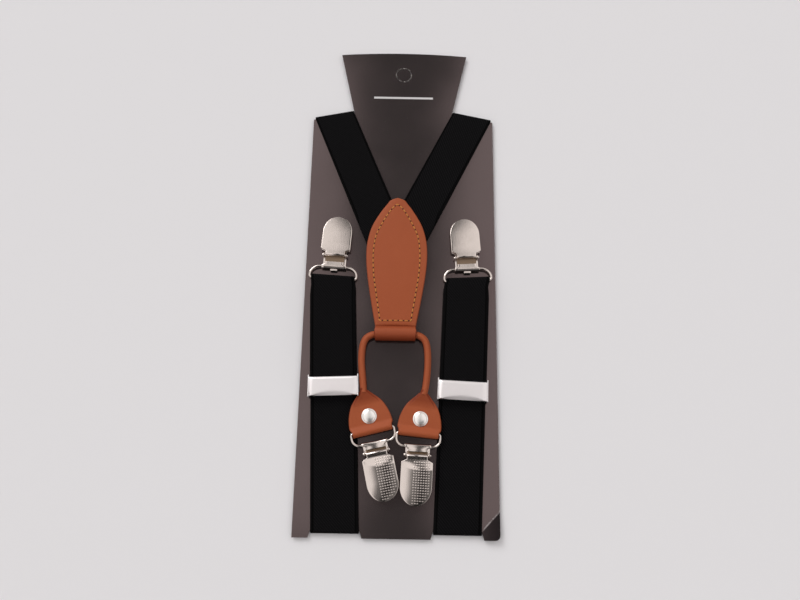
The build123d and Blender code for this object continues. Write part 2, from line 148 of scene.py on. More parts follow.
class Tree:
    """Builds one node tree, of a material or of the world."""

    def __init__(self, nodes: bpy.types.Nodes, links: bpy.types.NodeLinks) -> None:
        """Start on an emptied tree.

        Args:
            nodes: the tree's nodes.
            links: the tree's links.
        """
        nodes.clear()
        self.nodes = nodes
        self.links = links

    def node(self, kind: str, settings: dict | None = None, **values: object) -> bpy.types.Node:
        """Add one node.

        Args:
            kind: the node's type name.
            settings: attributes to set first, such as an operation.
            values: socket values or links by name, spaces as underscores; _0 is the first socket.

        Returns:
            The new node.
        """
        made = self.nodes.new(kind)
        for name, setting in (settings or {}).items():
            setattr(made, name, setting)
        for name, value in values.items():
            key = int(name[1:]) if name[0] == "_" else name.replace("_", " ")
            self.feed(made.inputs[key], value)
        return made

    def feed(self, socket: bpy.types.NodeSocket, value: object) -> None:
        """Link or set a socket.

        Args:
            socket: the input.
            value: a Value, an output socket, or a plain value.
        """
        if isinstance(value, Value):
            self.links.new(value.socket, socket)
        elif isinstance(value, bpy.types.NodeSocket):
            self.links.new(value, socket)
        else:
            socket.default_value = value

    def math(self, operation: str, first: object, second: object = 0.0, third: object = 0.0) -> Value:
        """Add a Math node.

        Args:
            operation: the operation's name.
            first: first operand.
            second: second operand.
            third: third operand, for the operations that take one.

        Returns:
            Its result.
        """
        made = self.node("ShaderNodeMath", {"operation": operation}, _0=first, _1=second, _2=third)
        return Value(self, made.outputs[0])

    def smooth(self, value: Value, low: float, high: float) -> Value:
        """A smooth step.

        Args:
            value: what decides the step.
            low: where it is still 0.
            high: where it has become 1.

        Returns:
            A value from 0 to 1.
        """
        settings = {"interpolation_type": "SMOOTHSTEP"}
        made = self.node("ShaderNodeMapRange", settings, Value=value, From_Min=low, From_Max=high)
        return Value(self, made.outputs[0])

    def mix(self, factor: object, first: object, second: object) -> bpy.types.NodeSocket:
        """A colour between two others.

        Args:
            factor: 0 for the first colour, 1 for the second.
            first: colour or link.
            second: colour or link.

        Returns:
            The mixed colour's socket.
        """
        made = self.node("ShaderNodeMix", {"data_type": "RGBA"})
        self.feed(made.inputs[0], factor)
        self.feed(made.inputs[6], first)
        self.feed(made.inputs[7], second)
        return made.outputs[2]

    def noise(self, vector: object, scale: float, detail: float = 2.0, rough: float = 0.5) -> Value:
        """Fractal noise.

        Args:
            vector: where it is read.
            scale: its scale.
            detail: how many finer layers it has.
            rough: how strong the finer layers are.

        Returns:
            A value from 0 to 1.
        """
        sizes = {"Scale": scale, "Detail": detail, "Roughness": rough}
        made = self.node("ShaderNodeTexNoise", None, Vector=vector, **sizes)
        return Value(self, made.outputs[0])

    def split(self, vector: bpy.types.NodeSocket) -> tuple[Value, Value, Value]:
        """The three numbers of a vector."""
        made = self.node("ShaderNodeSeparateXYZ", None, Vector=vector)
        return Value(self, made.outputs[0]), Value(self, made.outputs[1]), Value(self, made.outputs[2])

    def join(self, x: object, y: object, z: object) -> bpy.types.NodeSocket:
        """A vector of three numbers."""
        return self.node("ShaderNodeCombineXYZ", None, _0=x, _1=y, _2=z).outputs[0]

    def bump(self, height: Value, distance: float, strength: float = 1.0) -> bpy.types.NodeSocket:
        """A normal from a height; distance is the height of 1, in metres."""
        made = self.node("ShaderNodeBump", None, Strength=strength, Distance=distance, Height=height)
        return made.outputs[0]


@dataclass(frozen=True)
class Material:
    """A finish that knows how to build its Blender material.

    Attributes:
        name: the material's name.
        base: base colour, linear.
        roughness: roughness, 0 to 1.
    """

    name: str
    base: tuple[float, float, float]
    roughness: float

    def dress(self, tree: Tree, shader: bpy.types.Node) -> None:
        """Add what varies over the surface.

        Args:
            tree: the material's tree.
            shader: its Principled node.
        """

    def build(self) -> bpy.types.Material:
        """Make the material, unless it is already made.

        Returns:
            The material.
        """
        found = bpy.data.materials.get(self.name)
        if found:
            return found
        made = bpy.data.materials.new(self.name)
        made.use_nodes = True
        tree = Tree(made.node_tree.nodes, made.node_tree.links)
        shader = tree.node(
            "ShaderNodeBsdfPrincipled", None, Base_Color=(*self.base, 1.0), Roughness=self.roughness
        )
        out = tree.node("ShaderNodeOutputMaterial")
        tree.links.new(shader.outputs[0], out.inputs[0])
        self.dress(tree, shader)
        return made


@dataclass(frozen=True)
class Twill(Material):
    """Black elastic webbing: fine diagonal ribs, flat selvages and a soft fibre.

    Attributes:
        pitch: distance between ribs across the webbing, mm.
        selvage: distance of the selvage groove from the middle, mm.
    """

    pitch: float = 1.45
    selvage: float = 10.6

    def dress(self, tree: Tree, shader: bpy.types.Node) -> None:
        """Ribs and selvages from the strap's own UV map, which is in millimetres.

        Args:
            tree: the material's tree.
            shader: its Principled node.
        """
        uv = tree.node("ShaderNodeUVMap", {"uv_map": "weave"}).outputs[0]
        across, length, _ = tree.split(uv)
        turn = 2 * math.pi / self.pitch
        waver = tree.noise(uv, 0.35, 2.0)
        rib = tree.math("SINE", (across + length * 0.85) * turn + waver * 1.5) * 0.5 + 0.5
        course = tree.math("SINE", length * (turn * 1.9)) * 0.5 + 0.5
        edge = tree.math("ABSOLUTE", across)
        groove = 1.0 - tree.smooth(tree.math("ABSOLUTE", edge - self.selvage), 0.0, 0.45)
        body = 1.0 - tree.smooth(edge, self.selvage - 0.2, self.selvage + 0.2)
        fibre = tree.noise(uv, 5.0, 4.0, 0.7)
        weave = (rib * 0.7 + course * 0.3) * body + (1.0 - body) * course * 0.5
        # The selvage groove is painted darker: painted shade in the groove.
        shade = weave * 0.7 + fibre * 0.25 - groove * 0.6
        dark = (*[c * 0.1 for c in self.base], 1.0)
        pale = (*[c * 2.6 for c in self.base], 1.0)
        tree.feed(shader.inputs["Base Color"], tree.mix(tree.smooth(shade, 0.0, 1.0), dark, pale))
        height = weave * 0.6 + fibre * 0.4 - groove
        tree.feed(shader.inputs["Normal"], tree.bump(height, 0.0003))
        tree.feed(shader.inputs["Specular IOR Level"], 0.05)


@dataclass(frozen=True)
class Board(Material):
    """Varnished black board with a printed rule, a worn crease at one corner, and painted shade on the
    upturned corner beyond the crease.

    Attributes:
        rule: centre height and half sizes of the printed rule, mm.
        crease: a point on the crease and the direction out to the corner, mm.
        ring: height of the punch-out's middle, and its radius, mm.
    """

    rule: tuple[float, float, float] = (108.6, 17.4, 0.7)
    crease: tuple[float, float, float, float] = (47.5, -129.2, 0.729, -0.684)
    ring: tuple[float, float] = (124.0, 4.45)

    def dress(self, tree: Tree, shader: bpy.types.Node) -> None:
        """Rule, scuffs, crease and the upturned corner's painted shade from Object coordinates.

        Args:
            tree: the material's tree.
            shader: its Principled node.
        """
        place = tree.node("ShaderNodeTexCoord").outputs["Object"]
        x, y, z = tree.split(place)
        middle, half, rise = self.rule
        wide = 1.0 - tree.smooth(tree.math("ABSOLUTE", x), (half - 0.15) * MM, half * MM)
        tall = 1.0 - tree.smooth(tree.math("ABSOLUTE", y - middle * MM), (rise - 0.12) * MM, rise * MM)
        at_x, at_y, out_x, out_y = self.crease
        ahead = (x - at_x * MM) * out_x + (y - at_y * MM) * out_y
        ragged = tree.noise(place, 420.0, 4.0, 0.7)
        off = tree.math("ABSOLUTE", ahead + (ragged - 0.5) * (0.9 * MM))
        worn = (1.0 - tree.smooth(off, 0.1 * MM, 0.55 * MM)) * tree.smooth(ragged, 0.35, 0.6)
        # Beyond the crease the upturned corner is painted near black: painted shade for the dark that it
        # reflects.
        beyond = tree.smooth(ahead, 0.2 * MM, 0.5 * MM) * tree.smooth(x, 0.0, 5.0 * MM)
        edge = 1.0 - tree.smooth(z, 1.22 * MM, 1.45 * MM)
        dust = tree.smooth(tree.noise(place, 900.0, 2.0, 0.6), 0.74, 0.8)
        board = tree.mix(edge, (*self.base, 1.0), (0.03, 0.03, 0.035, 1.0))
        corner_shade = tree.mix(beyond, board, (0.004, 0.004, 0.005, 1.0))
        scuffed = tree.mix(dust * 0.15, corner_shade, (0.35, 0.33, 0.32, 1.0))
        creased = tree.mix(worn * 0.7, scuffed, (0.42, 0.4, 0.4, 1.0))
        inked = tree.mix(wide * tall * (1.0 - edge), creased, (0.72, 0.72, 0.72, 1.0))
        drop = y - self.ring[0] * MM
        radius = tree.math("SQRT", x * x + drop * drop)
        cut = 1.0 - tree.smooth(tree.math("ABSOLUTE", radius - self.ring[1] * MM), 0.18 * MM, 0.42 * MM)
        torn = tree.smooth(tree.noise(place, 1100.0, 2.0), 0.42, 0.55)
        tree.feed(shader.inputs["Base Color"], tree.mix(cut * torn * 0.75, inked, (0.6, 0.57, 0.54, 1.0)))
        cloud = tree.noise(place, 30.0, 3.0)
        gloss = cloud * 0.1 + (self.roughness - 0.05) + worn * 0.3 - beyond * 0.06
        tree.feed(shader.inputs["Roughness"], gloss)
        wave = tree.noise(place, 14.0, 1.0) * 6.0 + tree.noise(place, 700.0, 2.0) * 0.03
        tree.feed(shader.inputs["Normal"], tree.bump(wave, 0.0001))
        tree.feed(shader.inputs["IOR"], 2.1)
        tree.feed(shader.inputs["Specular Tint"], (1.0, 0.76, 0.75, 1.0))


@dataclass(frozen=True)
class Hide(Material):
    """Smooth cognac leather: fine pores, soft mottling, painted shade in its folds, under its tunnel and on
    the cord's sides and underside, and darker dyed edges.
    """

    def dress(self, tree: Tree, shader: bpy.types.Node) -> None:
        """Grain from Object coordinates, and painted shade and dyed edges from the piece's own attribute.

        Args:
            tree: the material's tree.
            shader: its Principled node.
        """
        place = tree.node("ShaderNodeTexCoord").outputs["Object"]
        cells = {"feature": "DISTANCE_TO_EDGE"}
        pores = tree.node("ShaderNodeTexVoronoi", cells, Vector=place, Scale=1500.0)
        pore = tree.smooth(Value(tree, pores.outputs["Distance"]), 0.0, 0.12)
        mottle = tree.noise(place, 75.0, 4.0, 0.6)
        fine = tree.noise(place, 2600.0, 2.0, 0.6)
        # Painted shade and darker dyed edges come from the piece's own attribute.
        shade_and_edge_dye = Value(tree, tree.node("ShaderNodeAttribute", {"attribute_name": "shade_and_edge_dye"}).outputs["Fac"])
        deep = tuple(c * f for c, f in zip(self.base, (0.55, 0.36, 0.26)))
        pale = tuple(c * f for c, f in zip(self.base, (1.12, 1.16, 1.2)))
        tone = tree.mix(mottle * 0.7 + fine * 0.2, (*self.base, 1.0), (*pale, 1.0))
        shaded = tree.mix(shade_and_edge_dye, tone, (*deep, 1.0))
        tree.feed(shader.inputs["Base Color"], tree.mix((1.0 - pore) * 0.12, shaded, (*deep, 1.0)))
        tree.feed(shader.inputs["Roughness"], mottle * 0.12 + (self.roughness - 0.06))
        tree.feed(shader.inputs["Normal"], tree.bump(pore * 0.4 + fine * 0.3 + mottle * 0.6, 0.00006))
        tree.feed(shader.inputs["Specular IOR Level"], 0.2)


@dataclass(frozen=True)
class Plated(Material):
    """Plated metal: hairline polish marks, small tarnish clouds and fine pits.

    Attributes:
        marks: height of the polish marks, m.
        blotch: how far the roughness varies.
    """

    marks: float = 0.000004
    blotch: float = 0.06

    def dress(self, tree: Tree, shader: bpy.types.Node) -> None:
        """Marks from Object coordinates.

        Args:
            tree: the material's tree.
            shader: its Principled node.
        """
        place = tree.node("ShaderNodeTexCoord").outputs["Object"]
        x, y, z = tree.split(place)
        cloud = tree.noise(place, 160.0, 3.0, 0.6)
        line = tree.noise(tree.join(x * 5000.0, y * 260.0, z * 260.0), 1.0, 2.0)
        dull = tuple(c * 0.86 for c in self.base)
        tree.feed(shader.inputs["Base Color"], tree.mix(cloud * 0.5, (*self.base, 1.0), (*dull, 1.0)))
        tree.feed(shader.inputs["Roughness"], cloud * self.blotch + line * 0.04 + (self.roughness - 0.04))
        tree.feed(shader.inputs["Normal"], tree.bump(line + cloud * 1.5, self.marks))
        tree.feed(shader.inputs["Metallic"], 1.0)


@dataclass(frozen=True)
class Plain(Material):
    """Thread or moulded plastic with a light mottle.

    Attributes:
        mottle: share of the colour that varies.
    """

    mottle: float = 0.25

    def dress(self, tree: Tree, shader: bpy.types.Node) -> None:
        """Mottle from Object coordinates.

        Args:
            tree: the material's tree.
            shader: its Principled node.
        """
        place = tree.node("ShaderNodeTexCoord").outputs["Object"]
        cloud = tree.noise(place, 1800.0, 3.0, 0.6)
        dark = tuple(c * (1 - self.mottle) for c in self.base)
        tree.feed(shader.inputs["Base Color"], tree.mix(cloud, (*dark, 1.0), (*self.base, 1.0)))
        tree.feed(shader.inputs["Normal"], tree.bump(cloud, 0.00003))


WEBBING = Twill("webbing_twill", (0.0036, 0.0034, 0.0038), 0.8)
BOARD = Board("card_board", (0.019, 0.017, 0.017), 0.13)
HIDE = Hide("leather_cognac", (0.352, 0.08, 0.027), 0.47)
NICKEL = Plated("nickel_bright", (0.77, 0.69, 0.64), 0.1)
RIVET = Plated("nickel_rivet", (1.0, 0.97, 0.93), 0.3)
SATIN = Plated("nickel_satin", (0.95, 0.91, 0.91), 0.4, 0.000008, 0.1)
GRIP = Plain("grip_plastic", (0.27, 0.18, 0.11), 0.35)
THREAD = Plain("thread_ochre", (0.64, 0.25, 0.04), 0.6, 0.35)
# Dark brown studs stand in for the stitch holes: their darkness is painted shade.
PIT = Plain("stitch_hole", (0.045, 0.008, 0.004), 0.9, 0.2)


# ---- places and meshes ----------------------------------------------------------------


@dataclass(frozen=True)
class Place:
    """A local frame that lies flat, in millimetres: u across, v along and z up.

    Attributes:
        origin: where u, v and z are 0.
        across: unit direction of u.
        along: unit direction of v.
    """

    origin: np.ndarray
    across: np.ndarray
    along: np.ndarray

    @classmethod
    def of_axis(cls, origin: Point, across: Point) -> "Place":
        """Frame whose v is u turned a quarter turn to the left.

        Args:
            origin: its origin.
            across: direction of u.

        Returns:
            The frame.
        """
        u = np.array([across[0], across[1], 0.0])
        u = u / np.linalg.norm(u)
        return cls(np.array(origin, float), u, np.array([-u[1], u[0], 0.0]))

    def at(self, u: float, v: float, z: float) -> np.ndarray:
        """The point at (u, v, z)."""
        return self.origin + u * self.across + v * self.along + z * UP


def joint(name: str) -> dict:
    """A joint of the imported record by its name."""
    return next(j for j in frame["joints"] if j["name"] == name)


def axis_place(name: str) -> Place:
    """The local frame of a hinge: its origin on the hinge, its u along it, in millimetres."""
    found = joint(name)
    return Place.of_axis([c / MM for c in found["pos_m"]], found["axis"])


def node_box(name: str) -> tuple[np.ndarray, np.ndarray]:
    """Lowest and highest corner of a CAD node in millimetres."""
    low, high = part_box(name)
    return np.array(low) / MM, np.array(high) / MM


def spline(points: Sequence[Point], count: int) -> np.ndarray:
    """Points along a smooth open curve through the given ones.

    Args:
        points: the points to pass through, of any dimension.
        count: how many points to return.

    Returns:
        An array of count points, evenly spaced along the curve.
    """
    given = np.array(points, float)
    padded = np.vstack([2 * given[0] - given[1], given, 2 * given[-1] - given[-2]])
    steps = 24
    fine = []
    for i in range(1, len(padded) - 2):
        a, b, c, d = padded[i - 1 : i + 3]
        for k in range(steps):
            t = k / steps
            bend = (2 * a - 5 * b + 4 * c - d) * t**2
            twist = (3 * b - a - 3 * c + d) * t**3
            fine.append(0.5 * (2 * b + (c - a) * t + bend + twist))
    fine.append(given[-1])
    return resample(np.array(fine), count)


def resample(line: np.ndarray, count: int) -> np.ndarray:
    """A polyline with its points spaced evenly.

    Args:
        line: the polyline, one point a row.
        count: how many points to return.

    Returns:
        An array of count points.
    """
    gone = np.concatenate([[0.0], np.cumsum(np.linalg.norm(np.diff(line, axis=0), axis=1))])
    want = np.linspace(0.0, gone[-1], count)
    return np.stack([np.interp(want, gone, line[:, k]) for k in range(line.shape[1])], axis=1)


def arc(centre: Point, radius: float, start: float, end: float, count: int) -> list[tuple[float, float]]:
    """Points of a circular arc in a plane.

    Args:
        centre: its centre.
        radius: its radius.
        start: first angle, degrees.
        end: last angle, degrees.
        count: how many points.

    Returns:
        The points as pairs.
    """
    angles = np.radians(np.linspace(start, end, count))
    return [(centre[0] + radius * math.cos(a), centre[1] + radius * math.sin(a)) for a in angles]


def mesh_object(
    name: str,
    points: np.ndarray,
    faces: Sequence[Sequence[int]],
    finish: Material,
    uv: np.ndarray | None = None,
    shade_and_edge_dye: np.ndarray | None = None,
    sharp: float = 50.0,
) -> bpy.types.Object:
    """Make a mesh object from points in millimetres.

    Args:
        name: the object's name.
        points: its vertices, mm.
        faces: vertex numbers of each face.
        finish: its material.
        uv: one UV point for each vertex, for the weave.
        shade_and_edge_dye: one value for each vertex, for leather: painted shade and darker dyed edges.
        sharp: angle above which an edge stays sharp, degrees.

    Returns:
        The object, at the origin, with its normals outward.
    """
    mesh = bpy.data.meshes.new(name)
    mesh.from_pydata((np.asarray(points, float) * MM).tolist(), [], [list(f) for f in faces])
    mesh.update()
    if uv is not None:
        layer = mesh.uv_layers.new(name="weave")
        corners = np.empty(len(mesh.loops), int)
        mesh.loops.foreach_get("vertex_index", corners)
        layer.data.foreach_set("uv", np.asarray(uv, float)[corners].ravel())
    shade = mesh.attributes.new("shade_and_edge_dye", "FLOAT", "POINT")
    if shade_and_edge_dye is not None:
        shade.data.foreach_set("value", np.asarray(shade_and_edge_dye, float))
    work = bmesh.new()
    work.from_mesh(mesh)
    bmesh.ops.remove_doubles(work, verts=work.verts, dist=1e-7)
    bmesh.ops.recalc_face_normals(work, faces=work.faces)
    work.to_mesh(mesh)
    work.free()
    mesh.shade_smooth()
    mesh.set_sharp_from_angle(angle=math.radians(sharp))
    mesh.materials.append(finish.build())
    made = bpy.data.objects.new(name, mesh)
    bpy.context.scene.collection.objects.link(made)
    return made


def joined(name: str, parts: Sequence[bpy.types.Object]) -> bpy.types.Object:
    """Join several new objects into the first.

    Args:
        name: the name of the result.
        parts: the objects; the first one stays.

    Returns:
        The joined object.
    """
    bpy.ops.object.select_all(action="DESELECT")
    for part in parts:
        part.select_set(True)
    bpy.context.view_layer.objects.active = parts[0]
    bpy.ops.object.join()
    parts[0].name = name
    return parts[0]


@dataclass
class Station:
    """One cross-section of a band.

    Attributes:
        centre: its middle.
        side: unit direction across the band.
        normal: unit direction of its upper face.
        half: half its width.
        thick: its thickness.
        crown: how far its middle stands above its edges.
        shade_and_edge_dye: leather's painted shade and darker dyed edges.
        apex: where its crown is highest, from -1 to 1 across it.
    """

    centre: np.ndarray
    side: np.ndarray
    normal: np.ndarray
    half: float
    thick: float
    crown: float = 0.0
    shade_and_edge_dye: float = 0.0
    apex: float = 0.0


def crowned(across: float, apex: float) -> float:
    """Height of a crown of 1 at a place from -1 to 1 across a band."""
    return 1 - (max(-1.0, min(1.0, across)) - apex) ** 2 / (1 + abs(apex)) ** 2


def section(station: Station, columns: int, rounds: int) -> list[tuple[float, float]]:
    """Outline of a band's cross-section, as (across, up) pairs.

    Args:
        station: the station.
        columns: points across each face.
        rounds: points round each edge.

    Returns:
        The outline, upper face first.
    """
    edge = min(station.thick / 2, station.half * 0.98)
    reach = station.half - edge
    level = station.thick / 2
    line = []
    across = np.linspace(-1, 1, columns)
    line += [(x * reach, level) for x in across]
    line += arc((reach, 0), 1.0, 90, -90, rounds)[1:-1]
    line += [(x * reach, -level) for x in across[::-1]]
    line += arc((-reach, 0), 1.0, 270, 90, rounds)[1:-1]
    shaped = []
    for i, (x, z) in enumerate(line):
        right = columns <= i < columns + rounds - 2
        left = i >= 2 * columns + rounds - 2
        if right or left:
            rim = reach if right else -reach
            x, z = rim + (x - rim) * edge, z * level
        lift = station.crown * crowned(x / max(station.half, 1e-6), station.apex)
        shaped.append((x, z + lift))
    return shaped


def band(
    name: str,
    stations: Sequence[Station],
    finish: Material,
    columns: int = 14,
    rounds: int = 7,
    sharp: float = 60.0,
) -> bpy.types.Object:
    """A closed band of cloth, hide or sheet metal through its stations.

    Args:
        name: the object's name.
        stations: the cross-sections, in order.
        finish: its material.
        columns: points across each face.
        rounds: points round each edge.
        sharp: angle above which an edge stays sharp, degrees.

    Returns:
        The object; its UV map is across and along, in millimetres.
    """
    points, uv, shade_and_edge_dye = [], [], []
    gone = 0.0
    for i, s in enumerate(stations):
        if i:
            gone += float(np.linalg.norm(s.centre - stations[i - 1].centre))
        for x, z in section(s, columns, rounds):
            points.append(s.centre + x * s.side + z * s.normal)
            uv.append((x, gone))
            # Leather edges are dyed darker; the rest of the value is painted shade from the station.
            rim = 1.0 if abs(x) > s.half - 0.35 * s.thick else 0.0
            shade_and_edge_dye.append(min(1.0, s.shade_and_edge_dye + 0.5 * rim))
    ring = 2 * columns + 2 * (rounds - 2)
    faces = []
    for i in range(len(stations) - 1):
        for k in range(ring):
            n = (k + 1) % ring
            faces.append((i * ring + k, i * ring + n, (i + 1) * ring + n, (i + 1) * ring + k))
    faces.append(tuple(range(ring))[::-1])
    faces.append(tuple(range((len(stations) - 1) * ring, len(stations) * ring)))
    return mesh_object(name, np.array(points), faces, finish, np.array(uv), np.array(shade_and_edge_dye), sharp)


def profile_stations(
    place: Place,
    path: Sequence[tuple[float, float]],
    half: Callable[[float, int], float],
    thick: float,
    crown: float = 0.0,
    flip: bool = False,
    shade_and_edge_dye: Callable[[float, float], float] | None = None,
) -> list[Station]:
    """Stations of a band whose side view is a path in its place's (v, z) plane.

    Args:
        place: the local frame.
        path: points (v, z) along the band's middle.
        half: half width at a point's v and number.
        thick: thickness.
        crown: crown of the upper face.
        flip: True if the upper face is on the path's right.
        shade_and_edge_dye: leather's painted shade at (v, z).

    Returns:
        The stations.
    """
    made = []
    line = np.array(path, float)
    for i, (v, z) in enumerate(line):
        ahead = line[min(i + 1, len(line) - 1)] - line[max(i - 1, 0)]
        ahead = ahead / max(float(np.linalg.norm(ahead)), 1e-9)
        normal = -ahead[1] * place.along + ahead[0] * UP
        normal = -normal if flip else normal
        shade = shade_and_edge_dye(v, z) if shade_and_edge_dye else 0.0
        made.append(Station(place.at(0, v, z), place.across, normal, half(v, i), thick, crown, shade))
    return made


def tube(
    name: str, path: np.ndarray, radius: float, finish: Material, closed: bool = False, sides: int = 20
) -> bpy.types.Object:
    """A round tube along a path that lies flat.

    Args:
        name: the object's name.
        path: points along its middle, mm.
        radius: its radius.
        finish: its material.
        closed: True for a ring.
        sides: points round it.

    Returns:
        The object.
    """
    points, faces, uv, shade_and_edge_dye = [], [], [], []
    count = len(path)
    gone = 0.0
    for i, p in enumerate(path):
        before = path[(i - 1) % count] if closed else path[max(i - 1, 0)]
        after = path[(i + 1) % count] if closed else path[min(i + 1, count - 1)]
        ahead = (after - before) / np.linalg.norm(after - before)
        side = np.cross(ahead, UP)
        side = side / np.linalg.norm(side)
        top = np.cross(side, ahead)
        if i:
            gone += float(np.linalg.norm(p - path[i - 1]))
        for k in range(sides):
            a = 2 * math.pi * k / sides
            points.append(p + radius * (math.cos(a) * side + math.sin(a) * top))
            uv.append((radius * a, gone))
            # Painted shade: the cord's sides and underside are darker, its top is not.
            shade_and_edge_dye.append(0.8 - 0.8 * max(0.0, math.sin(a)))
    for i in range(count if closed else count - 1):
        for k in range(sides):
            n = (k + 1) % sides
            j = (i + 1) % count
            faces.append((i * sides + k, i * sides + n, j * sides + n, j * sides + k))
    if not closed:
        faces.append(tuple(range(sides))[::-1])
        faces.append(tuple(range((count - 1) * sides, count * sides)))
    return mesh_object(name, np.array(points), faces, finish, np.array(uv), np.array(shade_and_edge_dye))


def turned(
    name: str, centre: np.ndarray, profile: Sequence[tuple[float, float]], finish: Material, sides: int = 48
) -> bpy.types.Object:
    """A turned shape about an upright axis.

    Args:
        name: the object's name.
        centre: a point on the axis; heights count from it.
        profile: (radius, height) pairs, from the axis out and back to the axis.
        finish: its material.
        sides: points round it.

    Returns:
        The object, closed at both poles.
    """
    points = [centre + profile[0][1] * UP]
    inner = profile[1:-1]
    for r, z in inner:
        for k in range(sides):
            a = 2 * math.pi * k / sides
            points.append(centre + np.array([r * math.cos(a), r * math.sin(a), z]))
    points.append(centre + profile[-1][1] * UP)
    faces = []
    for k in range(sides):
        n = (k + 1) % sides
        faces.append((0, 1 + k, 1 + n))
        for i in range(len(inner) - 1):
            a, b = 1 + i * sides, 1 + (i + 1) * sides
            faces.append((a + k, b + k, b + n, a + n))
        last = 1 + (len(inner) - 1) * sides
        faces.append((last + n, last + k, len(points) - 1))
    return mesh_object(name, np.array(points), faces, finish, sharp=40.0)


def bar(name: str, start: np.ndarray, end: np.ndarray, radius: float, finish: Material) -> bpy.types.Object:
    """A short round bar with softened ends.

    Args:
        name: the object's name.
        start: one end.
        end: the other end.
        radius: its radius.
        finish: its material.

    Returns:
        The object.
    """
    ahead = (end - start) / np.linalg.norm(end - start)
    soft = min(0.25, radius * 0.5)
    side = np.cross(ahead, UP)
    top = np.cross(side, ahead)
    sides = 24
    rings = [
        (start, radius - soft),
        (start + soft * 0.3 * ahead, radius - soft * 0.3),
        (start + soft * ahead, radius),
        (end - soft * ahead, radius),
        (end - soft * 0.3 * ahead, radius - soft * 0.3),
        (end, radius - soft),
    ]
    points, faces = [], []
    for centre, r in rings:
        for k in range(sides):
            a = 2 * math.pi * k / sides
            points.append(centre + r * (math.cos(a) * side + math.sin(a) * top))
    for i in range(len(rings) - 1):
        for k in range(sides):
            n = (k + 1) % sides
            faces.append((i * sides + k, i * sides + n, (i + 1) * sides + n, (i + 1) * sides + k))
    faces.append(tuple(range(sides))[::-1])
    faces.append(tuple(range((len(rings) - 1) * sides, len(rings) * sides)))
    return mesh_object(name, np.array(points), faces, finish, sharp=50.0)


def slab(
    name: str, outline: Sequence[np.ndarray], through: np.ndarray, finish: Material, soft: float = 0.12
) -> bpy.types.Object:
    """A flat plate with softened edges.

    Args:
        name: the object's name.
        outline: its corners on one face.
        through: the vector from that face to the other.
        finish: its material.
        soft: width of its bevels.

    Returns:
        The object.
    """
    count = len(outline)
    points = [*outline, *[p + through for p in outline]]
    faces = [tuple(range(count))[::-1], tuple(range(count, 2 * count))]
    faces += [(k, (k + 1) % count, count + (k + 1) % count, count + k) for k in range(count)]
    made = mesh_object(name, np.array(points), faces, finish, sharp=40.0)
    bevel = made.modifiers.new("soft", "BEVEL")
    bevel.width = soft * MM
    bevel.segments = 2
    bevel.limit_method = "ANGLE"
    return applied(made)


def applied(piece: bpy.types.Object) -> bpy.types.Object:
    """Apply every modifier of a piece.

    Args:
        piece: the piece.

    Returns:
        The same piece with a plain mesh.
    """
    graph = bpy.context.evaluated_depsgraph_get()
    mesh = bpy.data.meshes.new_from_object(piece.evaluated_get(graph), depsgraph=graph)
    piece.modifiers.clear()
    piece.data = mesh
    return piece


# ---- repeats --------------------------------------------------------------------------


